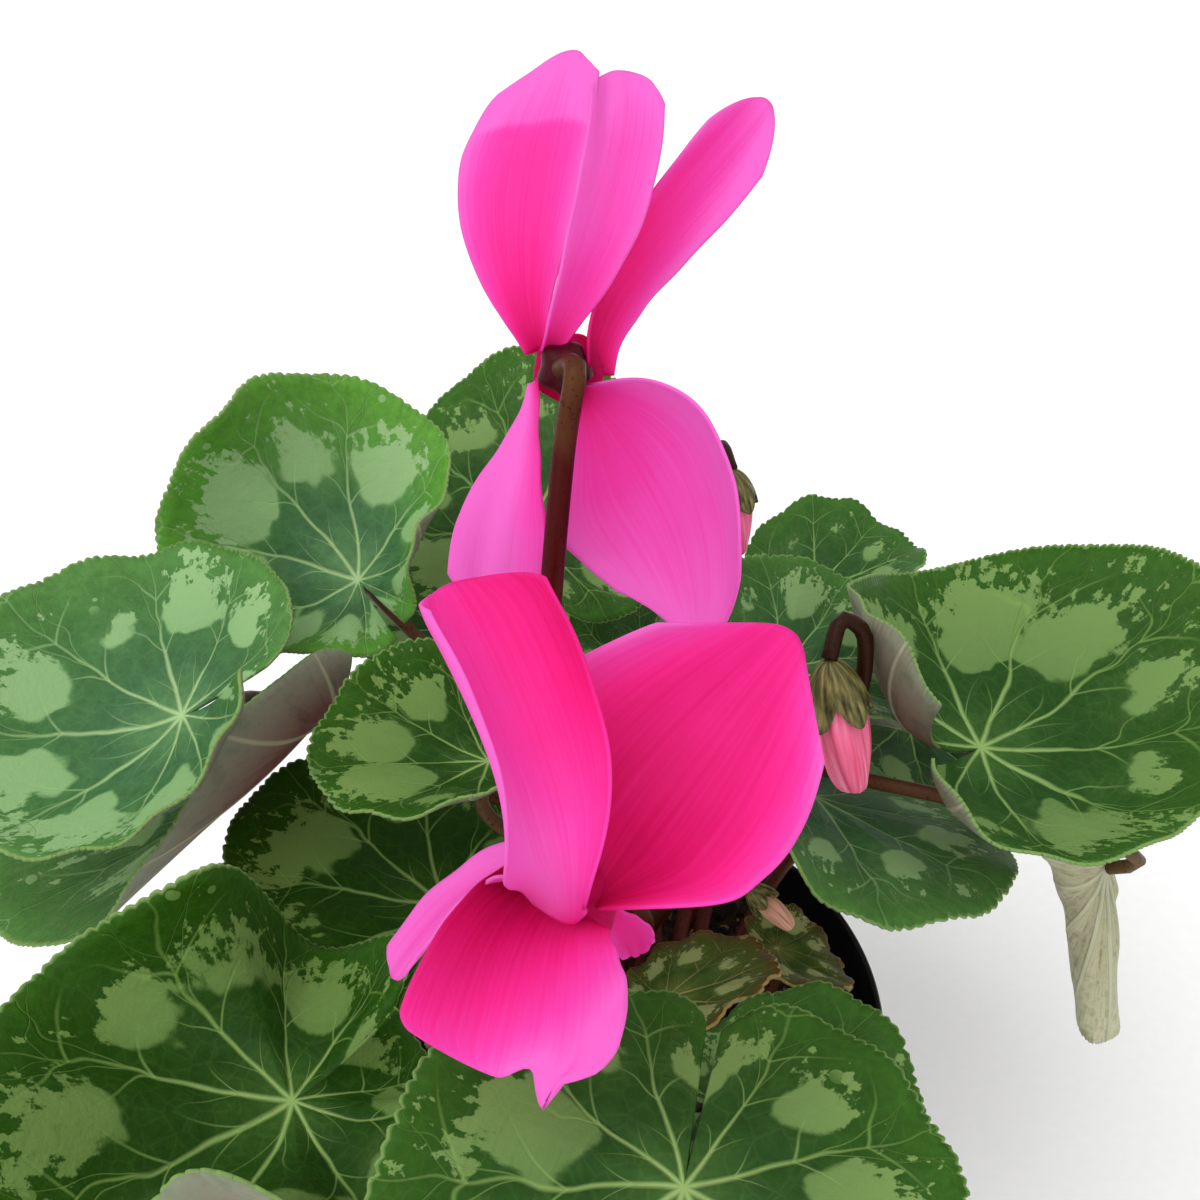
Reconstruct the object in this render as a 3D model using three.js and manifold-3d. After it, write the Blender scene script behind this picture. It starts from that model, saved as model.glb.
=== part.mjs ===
// A potted cyclamen in a plain black grower's pot: soil, a corm half sunk in it, heart-shaped leaves on long
// leaf stalks, two open pink flowers with swept petals on hooked stalks, and three nodding buds.
// Millimetres, +Z up. The origin is the middle of the pot's foot, and the plant is seen from -Y.
import * as THREE from "three";
import { mergeVertices } from "three/addons/utils/BufferGeometryUtils.js";
import Module from "manifold-3d";

const wasm = await Module();
wasm.setup();

// Driving dimensions of the pot and of what fills it.
const POT = {
  height: 95, rimRadius: 55, footRadius: 39, wall: 1.3, floor: 1.6,
  bandHeight: 11, bandStep: 1.8, holes: 6, holeRadius: 4, holeCircle: 27, sides: 32,
};
const SOIL = { below: 12, gap: 0.35, roughness: 1.1, rings: 6, sides: 24 };
const CORM = { radius: 24, height: 20, crown: 8, sides: 18 };
const SEAT = 0.35; // air between pieces that rest on each other
const SOCKET = 2; // how deep a stalk stands in the corm

const soilTop = POT.height - SOIL.below;
const crownTop = soilTop + CORM.crown;

const BLADE = { thickness: 0.8, outer: 44, tooth: 0.014, rings: [0.36, 0.7, 1] };
const STALK = { radius: 1.6, sides: 6, steps: 10, rise: 9 };
const PEDUNCLE = { radius: 1.9, budRadius: 1.4, sides: 6, steps: 14 };
const PETAL = { thickness: 0.7, along: 8, across: 6 };

const COLOURS = {
  pot: { color: 0x15161a, roughness: 0.45 },
  soil: { color: 0x2e2119, roughness: 1 },
  corm: { color: 0x5b4331, roughness: 0.95 },
  leaf: { color: 0x2f5f33, roughness: 0.55 },
  youngLeaf: { color: 0x5c6128, roughness: 0.55 },
  stalk: { color: 0x6d4a3a, roughness: 0.6 },
  peduncle: { color: 0x4a1f1a, roughness: 0.5 },
  petal: { color: 0xff2f9c, roughness: 0.5 },
  calyx: { color: 0x6b6a3d, roughness: 0.6 },
  bud: { color: 0xf58aa6, roughness: 0.5 },
  paleBud: { color: 0xd9a58b, roughness: 0.5 },
};

// Each leaf: at is where its stalk meets the blade, heading, pitch and roll (degrees) say which way its tip
// points, and length runs from stalk to tip. breadth is the width as a share of a round leaf's, and back
// says how far the stalk stands behind the middle. dish lifts the edge all round, wave ripples it, and curl
// bends the halves up along the midrib (left, right), less or more towards the tip as open says. droop
// bends the tip, twist turns the blade about its midrib, lobe lifts the two lobes beside the cleft (left,
// right), and span is how far round they reach in degrees. root is where the stalk stands on the corm
// (radius and bearing), via and past are points that it passes, and neck is the way it leaves the blade
// where that isn't straight down.
const LEAVES = {
  leaf_back_left: { at: [-51.5, 55.5, 161.5], heading: 127, pitch: 14, roll: -29, length: 50.5,
    breadth: 0.8, back: 0.32, dish: 0.03, wave: 0.18, phase: 1.6, curl: [0.5, 0.85], open: -0.25,
    droop: 1.2, twist: 0.2, lobe: [0.15, 0.35], root: [20, 109], via: [-18.8, 44.5, 118.4] },
  leaf_left: { at: [-78.5, 16, 162], heading: 185, pitch: -20, roll: -10, length: 48.5, breadth: 1.05,
    back: 0.22, dish: 0.1, wave: 0.03, phase: 0.7, curl: [0.95, -0.1], open: -0.5, droop: 0.8,
    twist: -0.25, lobe: [0.45, 0], root: [15.6, 134], via: [-45, 54.6, 113.1], past: [-74.3, 44.9, 138.8],
    neck: [1.5, 1.5, -5] },
  leaf_left_folded: { at: [-58.5, 37.5, 142], heading: -139, pitch: -21, roll: 38, length: 73,
    breadth: 0.47, back: 0.26, dish: 0.15, wave: 0.1, phase: 3.3, curl: [0.6, -1.2], open: 0.05,
    droop: 0.15, twist: -0.3, lobe: [0.1, 0.2], span: [108, 104], root: [10.6, 106],
    via: [-7.2, 25.2, 115.7] },
  leaf_front_left: { at: [-50, -51, 144.5], heading: -146, pitch: 12, roll: -1, length: 47.5,
    breadth: 1.04, back: 0.23, dish: 0.32, wave: 0.21, waves: 5, phase: 2.8, curl: [0.55, 0.6],
    open: -0.85, droop: -0.15, lobe: [0.2, 0.2], span: [188, 167], root: [19.9, 230],
    via: [-33.6, -37, 113.9] },
  leaf_low_left: { at: [-34, 10.5, 114], heading: 141, pitch: 13, roll: 2, length: 47, back: 0.3,
    phase: 0.6, root: [20, 172], via: [-29.7, 4.9, 98.9] },
  leaf_mid_left: { at: [-23, 13, 153], heading: 188, pitch: 9, roll: 18, length: 31.5, breadth: 1.07,
    back: 0.16, dish: 0.06, wave: 0.09, phase: 0.9, curl: [0.95, 0.9], open: -0.15, droop: -0.15,
    twist: -0.5, lobe: [0.2, 0], root: [10.6, 136], via: [6.6, 2.4, 119.7] },
  leaf_back: { at: [-17.5, 82, 154], heading: 107, pitch: 30, roll: -14, length: 44.5, breadth: 0.91,
    wave: 0.05, phase: 1.8, curl: [0.1, 0.15], droop: -0.3, twist: -0.3, root: [20, 82],
    via: [-12.2, 66.4, 122.9] },
  leaf_behind_flower: { at: [8, 60, 128], heading: 96, pitch: 14, roll: -3, length: 27, breadth: 0.95,
    phase: 0.1, root: [20, 64], via: [15.5, 54, 115.6] },
  leaf_back_right: { at: [46.5, 78, 139.5], heading: 56, pitch: 16, roll: -6, length: 30, breadth: 0.84,
    wave: 0.1, phase: 6, curl: [0.35, 0.4], open: -0.15, droop: -0.35, root: [15, 67],
    via: [39.4, 63.3, 120] },
  leaf_mid_right: { at: [34.5, 40.5, 151], heading: -18, pitch: -1, length: 30.5, breadth: 1.09,
    back: 0.12, dish: 0.05, phase: 6.2, curl: [0.5, 0.85], open: 0.2, droop: -0.35, twist: -0.45,
    lobe: [0.05, 0], root: [12.6, 19], via: [25.5, 38.4, 133.5] },
  leaf_right: { at: [70, 20.5, 149], heading: 39, pitch: -15, roll: 14, length: 66.5, breadth: 0.67,
    back: 0.1, dish: 0.08, wave: 0.05, phase: 1, curl: [0.65, 0.95], droop: 0.75, twist: -0.25,
    lobe: [0.55, 0.4], root: [16.4, 355], via: [26.2, 30.9, 106.5], past: [79.3, 26.9, 121] },
  leaf_low_right: { at: [40, 21.5, 134], heading: -35, pitch: 2, roll: -26, length: 38.5, wave: 0.14,
    phase: 1.2, curl: [0.05, 0.35], open: 0.1, droop: -0.35, twist: 0.2, root: [15.8, 91],
    via: [10.7, 31.6, 106.9] },
  leaf_hanging: { at: [94, 7, 131], heading: 12, pitch: -74, roll: -116, length: 67, breadth: 0.28,
    back: 0.32, dish: 0.04, wave: -0.05, phase: 1.4, curl: [8.5, 6], open: -0.45, droop: 0.05,
    twist: -0.05, span: [120, 112], root: [11.1, 345], via: [11.2, 36.2, 126.7], past: [54, 12.1, 146.9],
    neck: [2, -2.6, 7] },
  leaf_young: { at: [10, -9, 110.5], heading: 12, pitch: 16, roll: -16, length: 23.5, breadth: 0.9,
    back: 0.3, wave: 0.06, phase: 5.2, curl: [0.05, 0.2], droop: 0, twist: -0.4, root: [11.6, 319],
    via: [13, -9.8, 98.2] },
  leaf_youngest: { at: [33.5, 8, 103.5], heading: -34, pitch: 5, roll: -15, length: 17, breadth: 0.91,
    wave: 0.06, phase: 2.1, curl: [0.1, 0.4], droop: -0.3, twist: -0.45, root: [20, 14],
    via: [28.9, 4.5, 92.9] },
  leaf_front_right: { at: [21.5, -46, 133.5], heading: 0, pitch: 4, roll: -12, length: 30, breadth: 1.02,
    wave: 0.13, phase: 5.2, curl: [-0.05, 0.2], droop: -0.05, root: [20, 281],
    via: [15.1, -39.4, 111.7] },
  leaf_front: { at: [9, -73, 159.5], heading: -104, pitch: -24, roll: -5, length: 41, breadth: 1.12,
    back: 0.11, dish: 0, wave: 0.08, phase: 5.5, curl: [0.2, 0.35], droop: -1.1, lobe: [0, 0.1],
    span: [177, 177], root: [14.1, 248], via: [-0.1, -41.2, 134.2] },
  leaf_under_back_left: { at: [-34, 79, 128], heading: 112, pitch: 16, length: 31, root: [19.5, 148],
    via: [-23.9, 22.1, 91.5] },
  leaf_far_back: { at: [-2, 80, 112], heading: 82, pitch: -4, length: 40, phase: 2, root: [20, 126],
    via: [-9.9, 43.8, 96.7] },
  leaf_far_right: { at: [68, 64, 114], heading: -14, pitch: -4, length: 37, phase: 1, root: [17.6, 326],
    via: [36.7, 31.5, 98.6] },
};

// What a leaf has where its row doesn't say otherwise.
const PLAIN_LEAF = {
  pitch: 0, roll: 0, breadth: 0.96, back: 0.18, dish: 0.03, wave: 0.03, waves: 3, phase: 0, curl: [0.15, 0.2],
  open: 0, droop: -0.25, twist: 0, lobe: [0, 0], span: [171, 171],
};

const UP = new THREE.Vector3(0, 0, 1);
const rad = (degrees) => (degrees * Math.PI) / 180;
const vec = (point) => new THREE.Vector3(...point);
const material = (look) => new THREE.MeshStandardMaterial({ ...COLOURS[look], metalness: 0 });

function toSolid(geometry) {
  const bare = geometry.clone();
  bare.deleteAttribute("normal");
  bare.deleteAttribute("uv");
  const merged = mergeVertices(bare, 1e-4);
  return new wasm.Manifold(
    new wasm.Mesh({
      numProp: 3,
      vertProperties: merged.getAttribute("position").array,
      triVerts: new Uint32Array(merged.getIndex().array),
    }),
  );
}

function toGeometry(solid) {
  const mesh = solid.getMesh();
  const geometry = new THREE.BufferGeometry();
  geometry.setAttribute("position", new THREE.BufferAttribute(mesh.vertProperties, 3));
  geometry.setIndex(new THREE.BufferAttribute(mesh.triVerts, 1));
  geometry.computeVertexNormals();
  return geometry;
}

function piece(name, geometry, look) {
  const mesh = new THREE.Mesh(geometry, material(look));
  mesh.name = name;
  return mesh;
}

// The pot: a thin tapered wall with a stepped band at the rim, and drain holes in its floor.
function potWall() {
  const { height, rimRadius, footRadius, wall, floor, bandHeight, bandStep } = POT;
  const bandFoot = height - bandHeight;
  const slope = (rimRadius - bandStep - footRadius) / bandFoot;
  const inner = (z) => footRadius - wall + slope * z;
  const profile = [
    [0, 0], [footRadius - 2, 0], [footRadius, 2], [rimRadius - bandStep, bandFoot],
    [rimRadius - 0.4, bandFoot + 0.8], [rimRadius, bandFoot + 3], [rimRadius, height - 1],
    [rimRadius - 0.6, height], [rimRadius - wall, height - 0.6], [rimRadius - wall - 0.4, bandFoot + 2],
    [inner(bandFoot), bandFoot], [inner(floor), floor], [0, floor],
  ];
  const wallShape = new THREE.LatheGeometry(profile.map(([r, z]) => new THREE.Vector2(r, z)), POT.sides);
  wallShape.rotateX(Math.PI / 2);
  let solid = toSolid(wallShape);
  for (let i = 0; i < POT.holes; i++) {
    const bearing = rad((360 * i) / POT.holes);
    const drill = new THREE.CylinderGeometry(POT.holeRadius, POT.holeRadius, 4 * floor, 12);
    drill.rotateX(Math.PI / 2);
    drill.translate(POT.holeCircle * Math.cos(bearing), POT.holeCircle * Math.sin(bearing), floor / 2);
    solid = solid.subtract(toSolid(drill));
  }
  return piece("pot", toGeometry(solid), "pot");
}

// Radius of the space inside the pot at a height above its foot.
function potInside(z) {
  const slope = (POT.rimRadius - POT.bandStep - POT.footRadius) / (POT.height - POT.bandHeight);
  return POT.footRadius - POT.wall + slope * z;
}

// The corm's side from its foot to its crown, larger all round by grow.
const cormProfile = (grow) => {
  const points = [];
  const steps = 8;
  const waist = crownTop - CORM.height / 2;
  for (let i = 0; i <= steps; i++) {
    const turn = -Math.PI / 2 + (Math.PI * i) / steps;
    const r = (CORM.radius + grow) * Math.cos(turn) ** 0.8;
    const z = waist + (CORM.height / 2 + grow) * Math.sin(turn);
    points.push(new THREE.Vector2(i % steps ? r : 0, z));
  }
  return points;
};

// A turned solid about the pot's axis, whose side is made uneven by a formula so that it isn't a perfect
// round.
function turned(profile, sides, bump) {
  const shape = new THREE.LatheGeometry(profile, sides);
  shape.rotateX(Math.PI / 2);
  const place = shape.getAttribute("position");
  for (let i = 0; i < place.count; i++) {
    const p = new THREE.Vector3().fromBufferAttribute(place, i);
    bump(p);
    place.setXYZ(i, p.x, p.y, p.z);
  }
  return toSolid(shape);
}

function corm(stands) {
  let solid = turned(cormProfile(0), CORM.sides, (p) => {
    const bearing = Math.atan2(p.y, p.x);
    const swell = 1 + 0.03 * Math.sin(3 * bearing + 1) + 0.02 * Math.sin(5 * bearing);
    p.x *= swell;
    p.y *= swell;
  });
  for (const socket of stands) solid = solid.subtract(socket);
  return piece("corm", toGeometry(solid.simplify(0.12)), "corm");
}

function soil() {
  const rimAt = potInside(soilTop) - SOIL.gap;
  const foot = POT.floor + SEAT;
  const profile = [
    new THREE.Vector2(0, foot),
    new THREE.Vector2(potInside(POT.floor) - SOIL.gap, foot),
    new THREE.Vector2(rimAt - 0.3, soilTop - 1),
  ];
  for (let i = SOIL.rings; i >= 0; i--) {
    profile.push(new THREE.Vector2((i / SOIL.rings) * (rimAt - 1), soilTop));
  }
  const body = turned(profile, SOIL.sides, (p) => {
    if (p.z < soilTop - 0.5) return;
    const r = Math.hypot(p.x, p.y);
    const broad = Math.sin(p.x * 0.45) * Math.cos(p.y * 0.39);
    p.z += SOIL.roughness * (broad + 0.5 * Math.sin(p.x * 1.1 + p.y * 0.9));
    p.z -= 0.004 * Math.max(0, r - CORM.radius) ** 1.5;
  });
  const bed = turned(cormProfile(0.9), CORM.sides, (p) => {
    p.x *= 1.04;
    p.y *= 1.04;
  });
  return piece("soil", toGeometry(body.subtract(bed)), "soil");
}

// Distance from stalk to edge as a share of the length, in the direction a (0 at the tip, growing to the
// left).
function reach(a, leaf) {
  const turn = Math.min(1, Math.max(0, (Math.abs(a) - spanOf(a, leaf) + 0.55) / 0.55));
  const round = 1 - leaf.back + leaf.back * Math.cos(a);
  return round * (1 - 0.3 * turn ** 2) * (1 + 0.02 * Math.sin(3 * a + leaf.phase));
}

const spanOf = (a, leaf) => rad(a > 0 ? leaf.span[0] : leaf.span[1]);

// A bend of constant curvature: how far along and how high a length ends up, and the angle there.
function arc(length, turn) {
  if (Math.abs(turn) < 1e-4) return [length, 0, 0];
  const angle = length * turn;
  return [Math.sin(angle) / turn, (1 - Math.cos(angle)) / turn, angle];
}

// A point of the blade's upper face, in the leaf's own frame: +X to the tip, +Y to the left half, +Z up.
function bladePoint(leaf, a, share, edge) {
  const r = share * reach(a, leaf) * edge;
  const x = r * Math.cos(a);
  const y = r * Math.sin(a) * leaf.breadth;
  const near = Math.min(1.3, Math.max(0, (Math.abs(a) - 1.8) / (Math.PI - 1.8)));
  const lift = (a > 0 ? leaf.lobe[0] : leaf.lobe[1]) * near ** 2 * share;
  const ripple = leaf.wave * share ** 2 * Math.sin(leaf.waves * a + leaf.phase);
  const height = leaf.dish * r * r + ripple + lift * r;
  const bend = (y > 0 ? leaf.curl[0] : leaf.curl[1]) * (1 - leaf.open * x);
  const [sideways, rise, lean] = arc(Math.abs(y), bend);
  const flatY = Math.sign(y) * (sideways - height * Math.sin(lean));
  const flatZ = rise + height * Math.cos(lean);
  const turned = new THREE.Vector2(flatY, flatZ).rotateAround(new THREE.Vector2(), leaf.twist * x);
  const [forward, climb, tilt] = arc(x, leaf.droop);
  const place = [forward - turned.y * Math.sin(tilt), turned.x, climb + turned.y * Math.cos(tilt)];
  return vec(place).multiplyScalar(leaf.length);
}

// A thin closed body from a sheet of points and its triangles: the sheet, a copy below it, and the edge
// between.
function thicken(points, triangles, border, thickness) {
  const upper = new THREE.BufferGeometry().setFromPoints(points);
  upper.setIndex(triangles);
  upper.computeVertexNormals();
  const normals = upper.getAttribute("normal");
  const normal = (i) => new THREE.Vector3().fromBufferAttribute(normals, i);
  const lower = points.map((p, i) => p.clone().addScaledVector(normal(i), -thickness));
  const n = points.length;
  const index = [...triangles];
  for (let i = 0; i < triangles.length; i += 3) {
    const [a, b, c] = triangles.slice(i, i + 3);
    index.push(a + n, c + n, b + n);
  }
  border.forEach((from, i) => {
    const to = border[(i + 1) % border.length];
    index.push(from, from + n, to, to, from + n, to + n);
  });
  const body = new THREE.BufferGeometry().setFromPoints([...points, ...lower]);
  body.setIndex(index);
  body.computeVertexNormals();
  return body;
}

// A blade: rings of points round the stalk, twice as many on each ring as on the one inside it.
function blade(name, leaf, look) {
  const [left, right] = leaf.span.map(rad);
  const counts = BLADE.rings.map((_, i) => BLADE.outer / 2 ** (BLADE.rings.length - 1 - i));
  const points = [bladePoint(leaf, 0, 0, 1)];
  const starts = [];
  BLADE.rings.forEach((share, ring) => {
    starts.push(points.length);
    for (let i = 0; i <= counts[ring]; i++) {
      const a = -right + ((left + right) * i) / counts[ring];
      const toothed = share === 1 && i % 2 ? 1 - 2 * BLADE.tooth : 1 + BLADE.tooth;
      points.push(bladePoint(leaf, a, share, toothed));
    }
  });
  const triangles = [];
  for (let i = 0; i < counts[0]; i++) triangles.push(0, starts[0] + i, starts[0] + i + 1);
  for (let ring = 1; ring < counts.length; ring++) {
    for (let i = 0; i < counts[ring - 1]; i++) {
      const a = starts[ring - 1] + i;
      const b = starts[ring] + 2 * i;
      triangles.push(a, b, b + 1, a, b + 1, a + 1, a + 1, b + 1, b + 2);
    }
  }
  const border = [0, starts[0], starts[1]];
  for (let i = 0; i <= counts[2]; i++) border.push(starts[2] + i);
  border.push(starts[1] + counts[1], starts[0] + counts[0]);
  const mesh = piece(name, thicken(points, triangles, border, BLADE.thickness), look);
  mesh.position.set(...leaf.at);
  mesh.rotation.set(rad(leaf.roll), -rad(leaf.pitch), rad(leaf.heading), "ZYX");
  mesh.updateMatrixWorld(true);
  return mesh;
}

// A straight-sided rod along a curve.
function rod(curve, radius, sides, steps) {
  const section = new THREE.Shape(
    Array.from({ length: sides }, (_, i) => {
      const turn = (2 * Math.PI * i) / sides;
      return new THREE.Vector2(radius * Math.cos(turn), radius * Math.sin(turn));
    }),
  );
  return new THREE.ExtrudeGeometry(section, { steps, extrudePath: curve, bevelEnabled: false });
}

// The room that a stalk takes in the corm, with air round and under it.
function socket(curve, radius, sides, steps) {
  const foot = curve.getPoint(0);
  const under = new THREE.CylinderGeometry(radius + SEAT, radius + SEAT, 2 * SEAT, sides);
  under.rotateX(Math.PI / 2);
  under.translate(foot.x, foot.y, foot.z);
  return toSolid(rod(curve, radius + SEAT + 0.1, sides, steps)).add(toSolid(under));
}

// Height of the corm's top at a distance from its middle.
const cormTop = (r) => crownTop - (CORM.height / 2) * (1 - Math.sqrt(1 - (r / CORM.radius) ** 2.5));

const footOf = ([radius, bearing]) =>
  new THREE.Vector3(radius, 0, cormTop(radius) - SOCKET + SEAT).applyAxisAngle(UP, rad(bearing));

// A leaf stalk: it stands in the corm, spreads low, and rises to meet the underside of its blade square on.
function stalkCurve(leaf, mesh) {
  const foot = footOf(leaf.root);
  const up = UP.clone().applyQuaternion(mesh.quaternion);
  const neck = leaf.neck ? vec(leaf.neck) : up.clone().multiplyScalar(-STALK.rise);
  const slant = Math.sin(neck.angleTo(up));
  const end = vec(leaf.at).addScaledVector(up, -(BLADE.thickness + SEAT + STALK.radius * slant));
  const before = end.clone().add(neck);
  const between = [leaf.via, leaf.past].filter(Boolean).map(vec);
  return new THREE.CatmullRomCurve3([foot, foot.clone().setZ(foot.z + 4), ...between, before, end]);
}

// Each flower: its middle, the way its mouth faces, and its stalk's foot, path and hook. Each petal: the
// four points that its middle line bends by, from root to tip and measured from the flower's middle, the
// way across it at root and tip, and its half width. curl is how far it bends across (radians each side),
// claw is the root's width as a share of the widest, widest is where that is along it, shoulder narrows the
// tip and blunt draws its corners back.
const FLOWERS = {
  upper: {
    middle: [-7.5, 18, 233.5], facing: [0.1, 0.85, -0.5],
    petals: [
      { line: [[-4.5, 3.5, 1], [-10.5, 10, 17], [-6.5, 22, 29.5], [0, 37, 34.5]],
        root: [-0.9, -0.1, -0.3], tip: [-0.8, 0.5, -0.4], half: 11.5, curl: 0, claw: 0.15,
        widest: 0.65, shoulder: 0.45, blunt: 0.14 },
      { line: [[-3, 0, 3], [2, 4.5, 14.5], [10, 14.5, 27], [8.5, 30, 34]],
        root: [-0.8, -0.4, 0.5], tip: [-1, -0.1, 0.1], half: 7, curl: 1, claw: 0.3,
        widest: 0.6, shoulder: 0.05, blunt: 0.14 },
      { line: [[5, 1, -2], [4.5, 12.5, 9], [18, 20.5, 15.5], [31.5, 34, 28]],
        root: [-0.6, -0.6, 0.6], tip: [-0.8, 0.2, 0.6], half: 7.5, curl: 1, claw: 0.2,
        widest: 0.75, shoulder: 0.2, blunt: 0.16 },
      { line: [[2.5, -1, -3.5], [11.5, -7, -7.5], [21.5, -16, -15], [20.5, -27, -32.5]],
        root: [0.5, 0.2, 0.8], tip: [0.7, -0.6, 0.3], half: 19, curl: 0.9, claw: 0.1,
        widest: 0.5, shoulder: 0.65, blunt: 0.18 },
      { line: [[-4.5, 0.5, -2.5], [-5, -9, -10], [-11, -16, -17.5], [-10.5, -22, -29.5]],
        root: [0.4, -0.6, 0.7], tip: [1, 0.2, 0], half: 7, curl: 0.5, claw: 0.2,
        widest: 0.85, shoulder: 0.4, blunt: 0.14 },
    ],
    root: [5, 150], stem: [[-9, -4, 130], [-11.5, -10.5, 178], [-9.5, -7, 212], [-7.5, 3.5, 230]],
    hook: [-6, 9.5, 239],
  },
  lower: {
    middle: [-5.5, -53.5, 196.5], facing: [0.1, -0.75, 0.65],
    petals: [
      { line: [[-1, -0.5, 3], [0.5, -14, 21.5], [-7, 12, 24.5], [-16.5, 26.5, 31.5]],
        root: [-0.7, 0.6, 0.5], tip: [-0.8, -0.6, 0], half: 14, curl: 1.7, claw: 0.15,
        widest: 0.85, shoulder: 0.35, blunt: 0.14 },
      { line: [[2, -1.5, 1.5], [7, 5, 9], [16, 16, 13.5], [29, 27, 23]],
        root: [-0.4, 0.9, 0], tip: [-0.7, 0.4, 0.5], half: 22.5, curl: 0.8, claw: 0.15,
        widest: 0.3, shoulder: 0.65, blunt: 0.22 },
      { line: [[-2, -1, 1], [-7, -8.5, 3.5], [-5.5, -22, 7.5], [-8, -29, 5]],
        root: [0.7, -0.6, -0.3], tip: [0.9, -0.4, 0], half: 14, curl: 0.8, claw: 0.55,
        widest: 0.85, shoulder: 0.35, blunt: 0.06 },
      { line: [[-3.5, -1, 1.5], [-5.5, 5.5, 6], [-15.5, 0, 1.5], [-22.5, -10.5, -2.5]],
        root: [-0.6, -0.8, 0.2], tip: [0.5, -0.6, 0.7], half: 9, curl: 0.5, claw: 0.25,
        widest: 0.55, shoulder: 0.45, blunt: 0.08 },
      { line: [[3.5, -1, 0.5], [9, 1, -6], [10.5, 4, -13], [11, 5, -18]],
        root: [0.9, 0.3, 0.4], tip: [0.9, 0.3, 0.3], half: 4.5, curl: 0.4, claw: 0.4,
        widest: 0.6, shoulder: 0.4, blunt: 0.18 },
    ],
    root: [7, 262], stem: [[-2, -18, 125], [-5, -36, 165], [-6.5, -41, 184]], hook: [-6.5, -45, 190],
  },
};

const TUBE = { radius: 3.2, length: 9, mouth: 5.4, mouthDepth: 4, calyxWall: 0.7, calyxLength: 2.8 };

// Each bud: its calyx's top, the way it nods, its length and radius, and the stalk's path and foot.
const BUDS = {
  front: { at: [36.5, 8, 182], nods: [0.25, -0.33, -1], length: 25, radius: 4.9, look: "bud",
    root: [14, 44], stem: [[32, 44, 104], [47, 57, 122], [45, 18, 152], [43.5, 11, 166], [44, 12.5, 181]],
    hook: [39, 15.5, 187] },
  small: { at: [27.5, 9.5, 120.5], nods: [0.75, -0.55, -0.5], length: 11, radius: 2.3, look: "paleBud",
    root: [5, 20], stem: [[7, 8, 108], [16, 13, 119]], hook: [22, 13, 122.5] },
  rear: { at: [22.5, 54, 189], nods: [0.1, -0.25, -1], length: 17, radius: 4, look: "bud",
    root: [9, 78], stem: [[4, 36, 112], [12, 50, 136], [19, 62, 182]], hook: [21, 60, 191] },
};

// Half width along a petal: a narrow claw, widest past the middle, and a blunt end.
function petalHalf(petal, s) {
  const { claw, widest, shoulder } = petal;
  if (s < widest) return claw + (1 - claw) * Math.sin((Math.PI / 2) * (s / widest)) ** 1.15;
  return 1 - shoulder * ((s - widest) / (1 - widest)) ** 2;
}

// A point of a petal's face: s runs from root to tip, and v from one side (-1) to the other (1).
function petalPoint(petal, curve, s, v) {
  const along = s * (1 - petal.blunt * Math.abs(v) ** 2.2);
  const tangent = curve.getTangent(along);
  const across = vec(petal.root).lerp(vec(petal.tip), along);
  across.addScaledVector(tangent, -across.dot(tangent)).normalize();
  const normal = tangent.clone().cross(across);
  const half = petal.half * petalHalf(petal, along);
  const [sideways, rise] = arc(Math.abs(v), petal.curl);
  const middle = curve.getPoint(along);
  return middle.addScaledVector(across, Math.sign(v) * sideways * half).addScaledVector(normal, rise * half);
}

function petalSolid(petal) {
  const { along, across, thickness } = PETAL;
  const curve = new THREE.CubicBezierCurve3(...petal.line.map(vec));
  const points = [];
  for (let i = 0; i <= along; i++) {
    for (let j = 0; j <= across; j++) {
      points.push(petalPoint(petal, curve, i / along, (2 * j) / across - 1));
    }
  }
  const triangles = [];
  const row = across + 1;
  for (let i = 0; i < along; i++) {
    for (let j = 0; j < across; j++) {
      const a = i * row + j;
      triangles.push(a, a + row, a + row + 1, a, a + row + 1, a + 1);
    }
  }
  const border = [];
  for (let i = 0; i < along; i++) border.push(i * row);
  for (let j = 0; j < across; j++) border.push(along * row + j);
  for (let i = along; i > 0; i--) border.push(i * row + across);
  for (let j = across; j > 0; j--) border.push(j);
  const solid = toSolid(thicken(points, triangles, border, thickness));
  if (solid.volume() > 0) return solid;
  return toSolid(thicken(points, triangles.reverse(), border.reverse(), thickness));
}

// Turns a shape made along +Z so that it lies along an axis, and moves it.
function lay(geometry, axis, at) {
  const turn = new THREE.Quaternion().setFromUnitVectors(UP, vec(axis).normalize());
  geometry.applyQuaternion(turn);
  geometry.translate(...at);
  return geometry;
}

// A flower's or bud's tube: an egg lying along an axis, its middle set forward of a point.
function egg(radius, length, axis, at, forward) {
  const shape = new THREE.SphereGeometry(radius, 10, 7);
  shape.scale(1, 1, length / (2 * radius));
  const middle = vec(at).addScaledVector(vec(axis).normalize(), forward);
  return toSolid(lay(shape, axis, middle.toArray()));
}

// A flower's tube, the ring round its mouth and its petals, as one body.
function corolla(name, flower) {
  const mouth = egg(TUBE.mouth, TUBE.mouthDepth, flower.facing, [0, 0, 0], 2);
  let solid = egg(TUBE.radius, TUBE.length, flower.facing, [0, 0, 0], 0).add(mouth);
  for (const petal of flower.petals) solid = solid.add(petalSolid(petal));
  const mesh = piece(name, toGeometry(solid.simplify(0.03)), "petal");
  mesh.position.set(...flower.middle);
  return mesh;
}

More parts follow.
